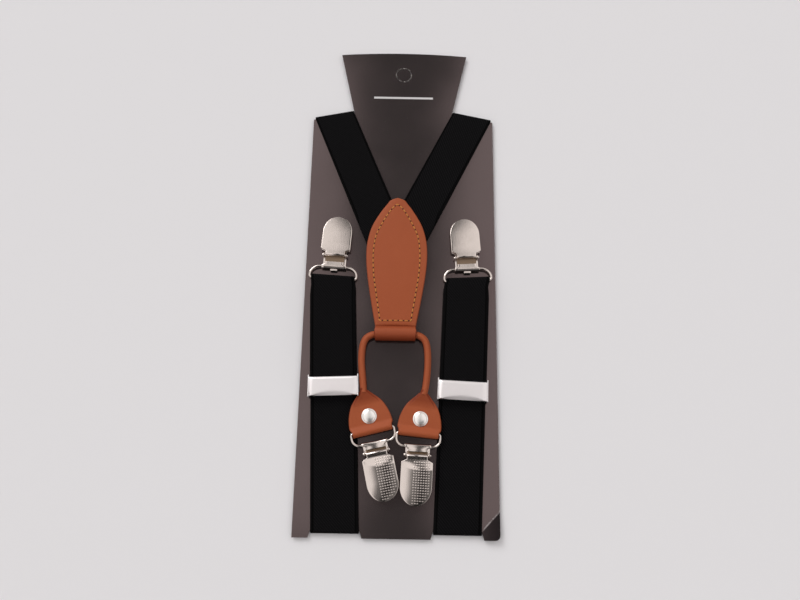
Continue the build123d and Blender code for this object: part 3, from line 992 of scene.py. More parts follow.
class Studs:
    """Geometry Nodes tree that puts one small rounded stud on every point of a mesh.

    Each point has a "turn" attribute, the stud's rotation in radians.
    """

    def __init__(self) -> None:
        """Build the tree once."""
        self.tree = bpy.data.node_groups.new("studs", "GeometryNodeTree")
        face = self.tree.interface
        face.new_socket("Geometry", in_out="OUTPUT", socket_type="NodeSocketGeometry")
        points = face.new_socket("Geometry", in_out="INPUT", socket_type="NodeSocketGeometry")
        self.ids = {"Geometry": points}
        for name, kind in (
            ("Length", "NodeSocketFloat"),
            ("Width", "NodeSocketFloat"),
            ("Height", "NodeSocketFloat"),
            ("Segments", "NodeSocketInt"),
            ("Rings", "NodeSocketInt"),
            ("Finish", "NodeSocketMaterial"),
        ):
            self.ids[name] = face.new_socket(name, in_out="INPUT", socket_type=kind)
        self._wire()

    def _wire(self) -> None:
        """Add the nodes and their links."""
        new, link = self.tree.nodes.new, self.tree.links.new
        given, out = new("NodeGroupInput"), new("NodeGroupOutput")
        ball = new("GeometryNodeMeshUVSphere")
        ball.inputs["Radius"].default_value = 0.5
        link(given.outputs["Segments"], ball.inputs["Segments"])
        link(given.outputs["Rings"], ball.inputs["Rings"])
        size = new("ShaderNodeCombineXYZ")
        for axis, name in enumerate(("Length", "Width", "Height")):
            link(given.outputs[name], size.inputs[axis])
        turn = new("GeometryNodeInputNamedAttribute")
        turn.data_type = "FLOAT_VECTOR"
        turn.inputs["Name"].default_value = "turn"
        spin = new("FunctionNodeEulerToRotation")
        link(turn.outputs["Attribute"], spin.inputs[0])
        put = new("GeometryNodeInstanceOnPoints")
        link(given.outputs["Geometry"], put.inputs["Points"])
        link(ball.outputs["Mesh"], put.inputs["Instance"])
        link(spin.outputs[0], put.inputs["Rotation"])
        link(size.outputs[0], put.inputs["Scale"])
        real = new("GeometryNodeRealizeInstances")
        soft = new("GeometryNodeSetShadeSmooth")
        paint = new("GeometryNodeSetMaterial")
        link(put.outputs[0], real.inputs[0])
        link(real.outputs[0], soft.inputs["Geometry"])
        link(soft.outputs[0], paint.inputs["Geometry"])
        link(given.outputs["Finish"], paint.inputs["Material"])
        link(paint.outputs[0], out.inputs[0])

    def make(
        self,
        name: str,
        points: np.ndarray,
        turns: np.ndarray,
        size: tuple[float, float, float],
        finish: Material,
        grain: tuple[int, int] = (10, 6),
    ) -> bpy.types.Object:
        """One object of studs.

        Args:
            name: its name.
            points: a place for each stud, mm.
            turns: the rotation of each, radians.
            size: length, width and height of one stud, mm.
            finish: its material.
            grain: segments and rings of one stud.

        Returns:
            The studs as a plain mesh.
        """
        mesh = bpy.data.meshes.new(name)
        mesh.from_pydata((points * MM).tolist(), [], [])
        turn = mesh.attributes.new("turn", "FLOAT_VECTOR", "POINT")
        turn.data.foreach_set("vector", np.asarray(turns, float).ravel())
        piece = bpy.data.objects.new(name, mesh)
        bpy.context.scene.collection.objects.link(piece)
        modifier = piece.modifiers.new("studs", "NODES")
        modifier.node_group = self.tree
        for key, value in zip(("Length", "Width", "Height"), size):
            modifier[self.ids[key].identifier] = value * MM
        modifier[self.ids["Segments"].identifier] = grain[0]
        modifier[self.ids["Rings"].identifier] = grain[1]
        modifier[self.ids["Finish"].identifier] = finish.build()
        return applied(piece)


def settle(piece: bpy.types.Object, body: str, finish: Finish, *nodes: str) -> None:
    """Ride a finished piece on its body and hide the CAD nodes that it replaces.

    Args:
        piece: the piece.
        body: the body it rides on.
        finish: its slot in the record; not used.
        nodes: the CAD nodes that it replaces.
    """
    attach(piece, body)
    if nodes:
        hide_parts(*nodes)
    log.info("%s rides on %s: %d faces", piece.name, body, len(piece.data.polygons))


# ---- hang card ------------------------------------------------------------------------


@dataclass
class HangCard:
    """Die-cut board: hang tab with a punch-out, sloping shoulders, strap notches, a bent corner.

    Attributes:
        tab_half: half width of the tab at its top.
        tab_side: how far the tab's top corners lie below its middle.
        neck: half width at the neck and its distance below the top.
        shoulder: distance of the shoulder corners below the top.
        notch: inner and outer half width, depth and corner of a strap notch.
        ring: radius of the punch-out's cuts, their half width and distance below the top.
        cut: half angle of one cut, degrees.
        crease: the two ends of the crease, from the corner: along the side and along the foot.
        lift: how far the corner is bent up, degrees.
        worn: radius of the worn corner.
    """

    tab_half: float = 37.2
    tab_side: float = 1.5
    neck: tuple[float, float] = (28.5, 40.2)
    shoulder: float = 45.1
    notch: tuple[float, float, float, float] = (18.2, 43.0, 3.5, 1.0)
    ring: tuple[float, float, float] = (4.4, 0.2, 14.5)
    cut: float = 39.0
    crease: tuple[float, float] = (14.1, 13.2)
    lift: float = 7.0
    worn: float = 2.6

    def outline(self, low: np.ndarray, high: np.ndarray) -> list[tuple[float, float]]:
        """The card's outline.

        Args:
            low: lowest corner of its box, mm.
            high: highest corner of its box, mm.

        Returns:
            Its corners, counted round it.
        """
        half, foot, top = high[0], low[1], high[1]
        inner, outer, deep, soft = self.notch
        neck_half, neck_down = self.neck
        shares = np.linspace(0, 1, 9)
        right = [(self.tab_half * t, top - self.tab_side * t**2) for t in shares]
        right += [(neck_half, top - neck_down), (half, top - self.shoulder)]
        feet = [(outer + soft, foot), (outer, foot + deep), (inner, foot + deep), (inner - soft, foot)]
        left = [(-x, y) for x, y in [*right, (half, foot), *feet][::-1]]
        corner = arc((half - self.worn, foot + self.worn), self.worn, 0, -90, 7)
        return [*right, *corner, *feet, *left[:-1]]

    def build(self) -> None:
        """Make the card and ride it."""
        low, high = node_box("hang_card")
        work = bmesh.new()
        loops = [self.outline(low, high)]
        radius, half, down = self.ring
        middle = (0.0, high[1] - down)
        for k in range(4):
            mid = 45 + 90 * k
            outer = arc(middle, radius + half, mid - self.cut, mid + self.cut, 12)
            inner = arc(middle, radius - half, mid + self.cut, mid - self.cut, 12)
            loops.append(outer + inner)
        for loop in loops:
            corners = [work.verts.new((x * MM, y * MM, high[2] * MM)) for x, y in loop]
            for a, b in zip(corners, corners[1:] + corners[:1]):
                work.edges.new((a, b))
        bmesh.ops.triangle_fill(work, use_beauty=True, edges=work.edges)
        up_side, along_foot = self.crease
        first = Vector((high[0], low[1] + up_side, 0)) * MM
        second = Vector((high[0] - along_foot, low[1], 0)) * MM
        ahead = (second - first).normalized()
        out = Vector((-ahead.y, ahead.x, 0))
        everything = work.verts[:] + work.edges[:] + work.faces[:]
        bmesh.ops.bisect_plane(work, geom=everything, plane_co=first, plane_no=out)
        bend = Matrix.Rotation(math.radians(self.lift), 3, ahead)
        for vert in work.verts:
            past = (vert.co - first).dot(out)
            if past > 1e-6 and vert.co.x > 0 and vert.co.y < first.y + 1e-5:
                flat = Vector((first.x, first.y, vert.co.z))
                vert.co = flat + bend @ (vert.co - flat)
        mesh = bpy.data.meshes.new("card")
        bmesh.ops.recalc_face_normals(work, faces=work.faces)
        work.to_mesh(mesh)
        work.free()
        if mesh.polygons[0].normal.z < 0:
            mesh.flip_normals()
        card = bpy.data.objects.new("card", mesh)
        bpy.context.scene.collection.objects.link(card)
        mesh.materials.append(BOARD.build())
        wall = card.modifiers.new("wall", "SOLIDIFY")
        wall.thickness = (high[2] - low[2]) * MM
        wall.offset = -1
        settle(applied(card), "card_and_straps", Finish.CARD, "hang_card")


# ---- straps ---------------------------------------------------------------------------


@dataclass
class Strap:
    """One webbing run with its folds, and its doubled end.

    Attributes:
        word: left or right.
        thick: webbing thickness.
        shoulder: inner and outer X where it crosses the shoulder.
        shoulder_y: height of the shoulder line at X 0 and its fall per mm.
        foot: inner and outer X, and Y, at the lower edge of the card.
        patch_x: centre line of the patch.
        foot_y: lower end inside the patch.
        lean: lean of the crossing run, degrees.
        wide: X of the middle of the front run at its top.
        wide_y: Y below the wire loop where the run starts to narrow.
        front_half: half width of the front run.
        squeeze: half width in the wire loop.
        tail_half: half width of the doubled end.
        layers: undersides of the lower, patch and upper layers.
    """

    word: str
    thick: float = 1.0
    shoulder: tuple[float, float] = (28.6, 51.0)
    shoulder_y: tuple[float, float] = (104.24, 0.2085)
    foot: tuple[float, float, float] = (18.5, 42.8, -135.0)
    patch_x: float = -2.2
    foot_y: float = -7.0
    lean: dict[str, float] = field(default_factory=lambda: {"left": 22.6, "right": 26.2})
    wide: dict[str, float] = field(default_factory=lambda: {"left": 36.3, "right": 35.7})
    wide_y: float = -11.0
    front_half: float = 12.25
    squeeze: float = 11.85
    tail_half: float = 11.9
    layers: tuple[float, float, float] = (1.6, 2.65, 4.4)

    def __post_init__(self) -> None:
        """Work out the places that the joints give."""
        self.side = SIDES[self.word]
        self.bar = axis_place(f"loop_hinge_front_{self.word}")
        self.adjuster_y = self._adjuster_place().origin[1]

    def _adjuster_place(self) -> Place:
        """The adjuster's own frame, from its cover's hinge."""
        hinge = axis_place(f"adjuster_cover_hinge_{self.word}")
        return Place(hinge.at(0, 4.4, 0), hinge.across, hinge.along)

    def _edge_station(self, inner: Point, outer: Point, z: float, normal: np.ndarray) -> Station:
        """A station between two edge points at one height.

        Args:
            inner: (X, Y) of its inner edge.
            outer: (X, Y) of its outer edge.
            z: height of its middle.
            normal: unit direction of its upper face.

        Returns:
            The station.
        """
        a = np.array([inner[0], inner[1], z])
        b = np.array([outer[0], outer[1], z])
        across = (b - a) * self.side
        width = float(np.linalg.norm(across))
        return Station((a + b) / 2, across / width, normal, width / 2, self.thick)

    def _fold(
        self,
        inner: Point,
        outer: Point,
        out: np.ndarray,
        centre_z: float,
        rise: float,
        start: float,
        end: float,
    ) -> list[Station]:
        """Stations round a fold.

        Args:
            inner: inner end of the fold's axis.
            outer: outer end of the fold's axis.
            out: unit direction in which the fold bulges.
            centre_z: height of the axis.
            rise: radius of the webbing's middle.
            start: first angle above the level, degrees.
            end: last angle, degrees.

        Returns:
            The stations.
        """
        made = []
        for a in np.radians(np.linspace(start, end, 13)):
            base = self._edge_station(inner, outer, centre_z, UP)
            ray = math.cos(a) * out + math.sin(a) * UP
            base.centre = base.centre + rise * ray
            base.normal = ray
            made.append(base)
        return made

    def stations(self) -> list[Station]:
        """All stations, from the patch over the shoulder and the foot to the wire loop.

        Returns:
            The stations, in order.
        """
        s, half = self.side, self.thick / 2
        low, patch, high = self.layers
        base_y, fall = self.shoulder_y
        inner = np.array([s * self.shoulder[0], base_y - self.shoulder[0] * fall])
        outer = np.array([s * self.shoulder[1], base_y - self.shoulder[1] * fall])
        slope = math.tan(math.radians(self.lean[self.word]))
        meet_y = inner[1] - (s * (inner[0] - self.patch_x) - 0.05) / slope
        foot_x = outer[0] - s * (outer[1] - self.foot_y) * slope
        made = []
        for t in np.linspace(1, 0, 60):
            y = inner[1] + t * (self.foot_y - inner[1])
            x = inner[0] - s * (inner[1] - y) * slope if y > meet_y else self.patch_x + s * 0.05
            out = outer + t * (np.array([foot_x, self.foot_y]) - outer)
            mean_y = (y + out[1]) / 2
            z = np.interp(mean_y, [44.0, 62.0, 94.0], [patch, low + 0.45, low])
            made.append(self._edge_station((x, y), out, z + half, UP))
        run = outer - inner
        away = np.array([-run[1], run[0], 0.0]) / np.linalg.norm(run)
        away = away if away[1] > 0 else -away
        fold_z = (low + self.thick) / 2
        made += self._fold(inner, outer, away, fold_z, fold_z - half, 80, -80)
        feet = [np.array([s * x, self.foot[2]]) for x in self.foot[:2]]
        for t in np.linspace(0, 1, 40):
            here = [inner + t * (feet[0] - inner), outer + t * (feet[1] - outer)]
            made.append(self._edge_station(here[0], here[1], half, -UP))
        made += self._fold(feet[0], feet[1], np.array([0, -1.0, 0]), fold_z, fold_z - half, -80, 80)
        made += self._front(feet, low + half, high + half)
        return made

    def _front(self, feet: list[np.ndarray], low: float, high: float) -> list[Station]:
        """Stations up the front and round the wire loop's wide bar.

        Args:
            feet: inner and outer end of the fold at the card's foot.
            low: height of the middle below the adjuster.
            high: height of the middle above it.

        Returns:
            The stations, from the foot up.
        """
        s = self.side
        lift = self.adjuster_y - 3.2
        mid, width = self.wide[self.word], self.front_half
        narrow = self.squeeze
        rows = [feet[0][1], lift - 8, lift - 3.2, lift, self.wide_y - 20, self.wide_y - 3, self.wide_y + 4]
        made = []
        wide_at = self.wide_y - 3
        for y in np.concatenate([np.linspace(a, b, 8, endpoint=False) for a, b in zip(rows, rows[1:])]):
            t = min(1.0, (y - feet[0][1]) / (wide_at - feet[0][1]))
            edges = [feet[k][0] + t * (s * (mid + (-width, width)[k]) - feet[k][0]) for k in (0, 1)]
            blend = max(0.0, (y - wide_at) / 10.0)
            tuck = (width - narrow) * blend**2 * (3 - 2 * blend)
            edges = [edges[0] + s * tuck, edges[1] - s * tuck]
            rise = np.interp(y, [lift - 3.4, lift - 2.0, lift - 1.0, lift], [0, 0.35, 0.75, 1])
            made.append(self._edge_station((edges[0], y), (edges[1], y), low + rise * (high - low), UP))
        ends = [self.bar.at(-s * narrow, 0, 0)[:2], self.bar.at(s * narrow, 0, 0)[:2]]
        bar_z = self.bar.origin[2]
        made += self._fold(ends[0], ends[1], self.bar.along, bar_z, high - bar_z, 90, -90)
        return made

    def build(self) -> None:
        """Make the strap and its doubled end."""
        run = self.stations()
        strap = band(f"strap_{self.word}_webbing", run, WEBBING)
        settle(strap, "card_and_straps", Finish.WEBBING, f"strap_{self.word}")
        length = sum(float(np.linalg.norm(a.centre - b.centre)) for a, b in zip(run, run[1:]))
        self._tail()

    def _tail(self) -> None:
        """The doubled end: lower layer, bend round the adjuster's bar, lap."""
        place = self._adjuster_place()
        low = self.layers[0] + self.thick / 2
        turn = (self.layers[2] - 0.05 - self.layers[0]) / 2 - self.thick / 2
        reach = float((self.bar.origin - place.origin) @ place.along)
        top = float(place.origin[2])
        path = [(v, low - top) for v in np.linspace(reach - 0.6, -2.0, 40)]
        path += arc((-2.0, low + turn - top), turn, 270, 90, 12)[1:]
        path += [(v, low + 2 * turn - top) for v in np.linspace(-1.0, 9.5, 8)]
        stations = profile_stations(place, path, lambda v, i: self.tail_half, self.thick, flip=True)
        tail = band(f"strap_tail_{self.word}_webbing", stations, WEBBING, columns=10)
        settle(tail, "card_and_straps", Finish.WEBBING, f"strap_tail_{self.word}")
        travel = joint(f"adjuster_slide_{self.word}")["range_m"][1] / MM
        tuple(place.along)
        tuple(self.bar.at(0, -0.6, 0) * MM)
        (reach - 0.6 - travel + 2.1) / (reach - 0.6 + 2.375)
        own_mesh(tail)


# ---- leather --------------------------------------------------------------------------


@dataclass
class Patch:
    """Two-leaf leather patch with a tunnel at its foot and a stitched edge.

    Attributes:
        studs: the tree that makes stitches and holes.
        x: its centre line.
        tip: Y of its tip.
        widths: (Y, half width) pairs up its side.
        seam: (Y, half width) pairs of the row of stitches.
        seam_x: centre line of the row of stitches.
        pitch: stitch length with its hole.
        hide: leather thickness.
        tunnel: Y and Z of the tunnel and radius of the leather's middle round it.
        back_z: middle of the back leaf.
        bulge: how far the tunnel stands out towards the stitched crease.
        crown: how far the front leaf's middle stands above its edges.
    """

    studs: Studs
    x: float = -2.2
    tip: float = 43.4
    widths: tuple[tuple[float, float], ...] = (
        (-38.5, 10.7), (-33.5, 11.2), (-30.2, 10.95), (-21.0, 12.7), (-9.0, 14.8), (1.0, 16.2),
        (10.0, 16.75), (18.0, 16.2), (26.6, 13.9), (35.0, 9.3), (41.0, 5.0),
    )
    seam: tuple[tuple[float, float], ...] = (
        (-27.2, 8.3), (-11.4, 10.8), (-1.0, 12.3), (10.5, 12.8), (20.0, 11.7), (27.0, 8.9),
        (33.0, 5.6), (37.6, 2.4), (39.4, 0.0),
    )
    seam_x: float = -2.3
    pitch: float = 2.8
    hide: float = 1.0
    tunnel: tuple[float, float, float] = (-35.3, 4.6, 2.5)
    back_z: float = 2.1
    bulge: float = 1.75
    crown: float = 0.45

    def half(self, y: float) -> float:
        """Half width at a height.

        Args:
            y: the height.

        Returns:
            Half the width, never quite nothing.
        """
        last, wide = self.widths[-1]
        if y > last:
            share = min(1.0, (y - last) / (self.tip - last))
            return max(0.25, wide * (1 - share**1.7) ** 0.62)
        line = spline(self.widths, 160)
        return float(np.interp(y, line[:, 0], line[:, 1]))

    def front_z(self, y: float) -> float:
        """Height of the front leaf's middle on the centre line."""
        heights = [3.3, 3.3, 3.5, 3.95, 4.2, 4.2, 4.05]
        return float(np.interp(y, [-30.6, -29.0, -24.0, -14.0, -7.0, 30.0, 43.0], heights))

    def build(self) -> None:
        """Make the leaves, the stitches and their holes."""
        y0, z0, r = self.tunnel
        rows = [self.tip - down for down in (0.02, 0.15, 0.4, 0.8, 1.4, 2.2)]
        rows += list(np.linspace(self.tip - 3.2, -29.4, 60))
        front = [(y, self.front_z(y)) for y in rows]
        wide = r + self.bulge
        upper = [(y0 + wide * math.cos(a), z0 + r * math.sin(a)) for a in np.linspace(0.1, 1.57, 14)]
        wrap = arc((y0, z0), r, 90, 270, 24)
        back = [(y, self.back_z) for y in rows[::-1]]
        path = [*front, (-30.3, 3.42), *upper, *wrap[1:-1], *back]
        place = Place(np.array([self.x, 0.0, 0.0]), np.array([1.0, 0, 0]), np.array([0, 1.0, 0]))
        stations = profile_stations(
            place, path, lambda v, i: self.half(v), self.hide, self.crown, flip=True, shade_and_edge_dye=self.shade
        )
        for station in stations[len(front) :]:
            station.crown = 0.0
        hide = band("patch_leather", stations, HIDE, columns=22, rounds=9)
        settle(hide, "card_and_straps", Finish.LEATHER, "back_patch")
        self._stitch()

    def shade(self, y: float, z: float) -> float:
        """How much painted shade the leather gets.

        Args:
            y: Y of the place.
            z: its height.

        Returns:
            0 where it lies flat, up to 1 in the crease and under the tunnel.
        """
        if y >= -30.0 or z <= 3.0:
            return 0.0
        rows = [-38.5, -36.5, -33.0, -31.2, -30.4, -29.6]
        return float(np.interp(y, rows, [1.0, 0.75, 0.2, 0.5, 0.9, 0.1]))

    def _stitch(self) -> None:
        """Lay thread and holes along the seam."""
        line = spline(self.seam, 400)
        left = [(self.seam_x - h, y) for y, h in line]
        right = [(self.seam_x + h, y) for y, h in line[::-1]]
        closed = np.array([*left, *right[1:], left[0]])
        length = float(np.sum(np.linalg.norm(np.diff(closed, axis=0), axis=1)))
        count = int(round(length / self.pitch))
        spots = resample(closed, 2 * count + 1)[:-1]
        aheads = np.roll(spots, -1, axis=0) - np.roll(spots, 1, axis=0)
        turn = np.arctan2(aheads[:, 1], aheads[:, 0])
        rises = [self.crown * (1 - ((x - self.x) / self.half(y)) ** 2) for x, y in spots]
        height = [self.front_z(y) + self.hide / 2 + rise for (_, y), rise in zip(spots, rises)]
        places = np.column_stack([spots, np.array(height)])
        turns = np.column_stack([np.zeros((len(turn), 2)), turn])
        on, off = places[0::2] + UP * 0.04, places[1::2] + UP * 0.02
        stitch, hole = (self.pitch * 0.76, 0.74, 0.5), (0.85, 0.85, 0.16)
        thread = self.studs.make("patch_stitches", on, turns[0::2], stitch, THREAD, (8, 6))
        settle(thread, "card_and_straps", Finish.LEATHER)
        holes = self.studs.make("patch_stitch_holes", off, turns[1::2], hole, PIT, (10, 4))
        settle(holes, "card_and_straps", Finish.LEATHER)


@dataclass
class LeatherLoop:
    """Rolled cord through the tunnel, and a folded tab with a rivet at each end.

    Attributes:
        tunnel: Y and Z of the cord in the tunnel.
        radius: radius of the cord.
        arms: points (X, Y) of each arm from the tunnel's end to its tab.
        lean: lean of each tab from -Y, degrees.
        skew: how far each tab is folded out of square, degrees.
        hide: leather thickness.
        low: underside of the tabs.
        middle: X halfway along the tunnel.
        seam: how far out and up the cord's seam lies, as shares of its radius, and the seam's radius.
        fold_half: half width of a tab in its fold.
        widths: (distance from the rivet, half width) pairs of a tab.
    """

    tunnel: tuple[float, float] = (-35.3, 4.6)
    radius: float = 1.75
    arms: dict[str, tuple[tuple[float, float], ...]] = field(
        default_factory=lambda: {
            "left": (
                (-11.5, -35.3), (-14.1, -35.3), (-17.6, -37.4),
                (-19.3, -42.0), (-19.6, -50.0), (-18.5, -61.0),
            ),
            "right": (
                (7.1, -35.3), (9.8, -35.3), (13.4, -37.8),
                (14.9, -43.0), (15.1, -52.0), (14.2, -62.0),
            ),
        }
    )
    lean: dict[str, float] = field(default_factory=lambda: {"left": 14.5, "right": -7.0})
    skew: dict[str, float] = field(default_factory=lambda: {"left": 2.0, "right": -3.0})
    hide: float = 1.0
    low: float = 2.7
    middle: float = -2.2
    seam: tuple[float, float, float] = (0.9, 0.42, 0.2)
    fold_half: float = 10.4
    widths: tuple[tuple[float, float], ...] = (
        (-13.6, 2.2), (-11.2, 4.3), (-7.0, 8.0), (-1.5, 10.4), (3.6, 11.3), (7.0, 11.1), (9.5, 10.6),
    )

    def cord_path(self) -> np.ndarray:
        """Middle of the cord, from the left tab through the tunnel to the right one.

        Returns:
            Points along it, mm.
        """
        y0, z0 = self.tunnel
        ends = {word: self.tab_place(word).at(0, -12.6, 0)[:2] for word in SIDES}
        left, right = self.arms["left"][::-1], self.arms["right"]
        flat = [ends["left"], *left, (self.middle, y0), *right, ends["right"]]
        drop = math.tan(math.radians(0.3))
        return np.array([(x, y, z0 + (y - y0) * drop) for x, y in spline(flat, 150)])

    def tab_place(self, word: str) -> Place:
        """A tab's own frame.

        Args:
            word: left or right.

        Returns:
            The frame, its origin at the rivet and its v towards the clip.
        """
        low, high = node_box(f"rivet_cap_{word}")
        middle = (low + high) / 2
        a = math.radians(self.lean[word])
        along = np.array([math.sin(a), -math.cos(a), 0.0])
        return Place(np.array([middle[0], middle[1], 0.0]), np.array([along[1], -along[0], 0.0]), along)

    def half(self, v: float) -> float:
        """Half width of a tab."""
        line = spline(self.widths, 120)
        return float(np.interp(v, line[:, 0], line[:, 1]))

    def _tab(self, word: str) -> list[bpy.types.Object]:
        """A tab: upper layer, fold round the wire, lower layer, and the neck of the cord.

        Args:
            word: left or right.

        Returns:
            The tab and the neck.
        """
        place = self.tab_place(word)
        bar_axis = axis_place(f"loop_hinge_back_{word}")
        reach = float((bar_axis.origin - place.origin) @ place.along)
        bar_z = bar_axis.origin[2]
        fold = bar_z - self.low - self.hide / 2
        upper, lower = self.low + 1.5 * self.hide + 0.05, self.low + self.hide / 2
        rows = np.linspace(-13.4, reach - 3.4, 30)
        path = [(v, upper) for v in rows]
        path += [(reach - 2.3, upper + 0.5), (reach - 1.2, upper + 1.2)]
        path += arc((reach, bar_z), fold, 100, -90, 18)
        path += [(v, lower) for v in np.linspace(reach - 1.0, -13.4, 30)]
        tilt = bar_axis.across if bar_axis.across @ place.across > 0 else -bar_axis.across
        tilt = np.array(Matrix.Rotation(math.radians(self.skew[word]), 3, "Z") @ Vector(tilt))

        def width(v: float, _: int) -> float:
            """Half width, narrowing into the fold."""
            ease = min(1.0, max(0.0, (v - reach + 2.4) / 1.5))
            return self.half(v) + ease * (self.fold_half - self.half(v))

        def shade(v: float, z: float) -> float:
            """Painted shade where the cord opens out."""
            return float(np.interp(v, [-13.4, -9.5, -5.5], [0.55, 0.6, 0.0]))

        stations = profile_stations(place, path, width, self.hide, 0.0, flip=False, shade_and_edge_dye=shade)
        for station in stations:
            v = float((station.centre - place.origin) @ place.along)
            share = min(1.0, max(0.0, (v - (reach - 4.0)) / 4.0))
            side = place.across * (1 - share) + tilt * share
            station.side = side / np.linalg.norm(side)
        flap = band(f"tab_{word}", stations, HIDE, columns=18, rounds=9)
        neck = []
        cord_z = self.tunnel[1] - 0.2
        for v in np.linspace(-15.0, -4.5, 22):
            t = min(1.0, max(0.0, (v + 14.0) / 9.0))
            wide = self.radius + max(0.0, self.half(max(v, -13.6)) - 2.2) * 0.93
            thick = 2 * self.radius * (1 - t) ** 1.4 + 1.9 * (1 - (1 - t) ** 1.4)
            middle = cord_z + (self.low + self.hide - cord_z) * t**0.8
            neck.append(Station(place.at(0, v, middle), place.across, UP, wide, thick, 0.0, shade(v, 0)))
        collar = band(f"neck_{word}", neck, HIDE, columns=12, rounds=11)
        return [flap, collar]

    def build(self) -> None:
        """Make the loop and its rivets."""
        parts = [tube("cord", self.cord_path(), self.radius, HIDE, sides=28)]
        parts.append(self._seam())
        for word in SIDES:
            parts += self._tab(word)
        settle(joined("leather_loop_hide", parts), "leather_loop", Finish.LEATHER, "leather_loop")
        for word in SIDES:
            self._rivet(word)

    def _seam(self) -> bpy.types.Object:
        """The raised edge where the rolled cord's leather meets, on its outer side.

        Returns:
            The edge as a thin tube.
        """
        path = self.cord_path()
        ahead = np.gradient(path, axis=0)
        side = np.cross(ahead, UP)
        side = side / np.linalg.norm(side, axis=1)[:, None]
        out, up, radius = self.seam
        middle = np.array([self.middle, -50.0, self.tunnel[1]])
        outward = np.where(((path - middle) * side).sum(axis=1) > 0, 1.0, -1.0)[:, None]
        line = path + side * outward * (self.radius * out) + UP * (self.radius * up)
        return tube("cord_seam", line, radius, HIDE, sides=8)

    def _rivet(self, word: str) -> None:
        """A domed cap with a thin flange.

        Args:
            word: left or right.
        """
        low, high = node_box(f"rivet_cap_{word}")
        middle = (low + high) / 2
        seat = self.low + 2 * self.hide + 0.05
        rise = high[2] - seat
        radius = (high[0] - low[0]) / 2
        rim, dome = 0.42, radius - 0.55
        profile = [(0, 0.0), (radius - 0.2, 0.0), (radius, 0.1), (radius, 0.25), (radius - 0.15, 0.38)]
        profile += [(radius - 0.5, rim)]
        angles = np.linspace(0.12, 1.5, 12)
        profile += [(dome * math.cos(a), rim + (rise - rim) * math.sin(a)) for a in angles]
        profile += [(0, rise)]
        cap = turned(f"rivet_{word}_dome", np.array([middle[0], middle[1], seat]), profile, RIVET)
        settle(cap, "leather_loop", Finish.NICKEL, f"rivet_cap_{word}")


# ---- adjusters ------------------------------------------------------------------------


@dataclass
class Adjuster:
    """Hinged cover plate over the strap, pressed like an envelope at its ends.

    Attributes:
        word: left or right.
        half: half its length across the strap.
        hinge_v: distance of its hinge below its middle.
        top_v: its upper edge above its middle.
        thick: plate thickness.
        rise: height of its pillow.
        pin: inner and outer end of a hinge pin, its height from the hinge and its radius.
        knuckle: half length, height and radius of the rolled hinge edge.
    """

    word: str
    half: float = 12.55
    hinge_v: float = -4.4
    top_v: float = 5.0
    thick: float = 0.45
    rise: float = 0.6
    pin: tuple[float, float, float, float] = (12.3, 13.08, -0.1, 0.4)
    knuckle: tuple[float, float, float] = (12.4, -0.3, 0.22)

    def build(self) -> None:
        """Make the cover with its pins, and give the frame its finish."""
        hinge = axis_place(f"adjuster_cover_hinge_{self.word}")
        place = Place(hinge.at(0, -self.hinge_v, 0), hinge.across, hinge.along)
        columns, rows = 73, 29
        us = np.linspace(-self.half, self.half, columns)
        vs = np.linspace(self.hinge_v - 0.45, self.top_v, rows)
        top = np.array([[place.at(u, v, self._height(u, v)) for u in us] for v in vs])
        under = top - UP * self.thick
        points = np.vstack([top.reshape(-1, 3), under.reshape(-1, 3)])
        count = columns * rows
        faces = []
        for i in range(rows - 1):
            for k in range(columns - 1):
                a = i * columns + k
                faces.append((a, a + 1, a + columns + 1, a + columns))
                faces.append(tuple(count + n for n in (a, a + columns, a + columns + 1, a + 1)))
        rim = list(range(columns)) + [i * columns + columns - 1 for i in range(1, rows)]
        rim += [count - 1 - k for k in range(1, columns)] + [i * columns for i in range(rows - 2, 0, -1)]
        faces += [(a, count + a, count + b, b) for a, b in zip(rim, rim[1:] + rim[:1])]
        plate = mesh_object("cover", points, faces, SATIN, sharp=35.0)
        near, end, pin_z, radius = self.pin
        pins = []
        for s in (-1, 1):
            pins.append(bar("pin", hinge.at(near * s, 0, pin_z), hinge.at(end * s, 0, pin_z), radius, SATIN))
        half, z, radius = self.knuckle
        knuckle = bar("knuckle", hinge.at(-half, 0, z), hinge.at(half, 0, z), radius, SATIN)
        cover = joined(f"adjuster_{self.word}_plate", [plate, *pins, knuckle])
        settle(cover, f"adjuster_cover_{self.word}", Finish.SATIN, f"adjuster_cover_{self.word}")
        steel = frame["nodes"][f"adjuster_frame_{self.word}"]
        steel.data.materials.clear()
        steel.data.materials.append(SATIN.build())

    def _height(self, u: float, v: float) -> float:
        """Height of the plate's upper face: the lowest of its four slopes, with soft edges between.

        Args:
            u: place across the strap.
            v: place along the strap.

        Returns:
            The height above the hinge axis.
        """
        end = (self.half + u) * (0.5 - 0.025 * v) if u < 0 else (self.half - u) * 0.3
        upper = (self.top_v - v) * 0.8
        sag = 1.75 * max(0.0, 1 - (u / 10.2) ** 2) + 0.25
        lower = (v - self.hinge_v + 0.45) / sag * self.rise
        limits = np.array([self.rise, end, upper, lower])
        crisp = 9.0
        soft = -np.log(np.sum(np.exp(-limits * crisp))) / crisp
        return 0.02 + max(-0.12, float(soft))


# ---- clips ----------------------------------------------------------------------------


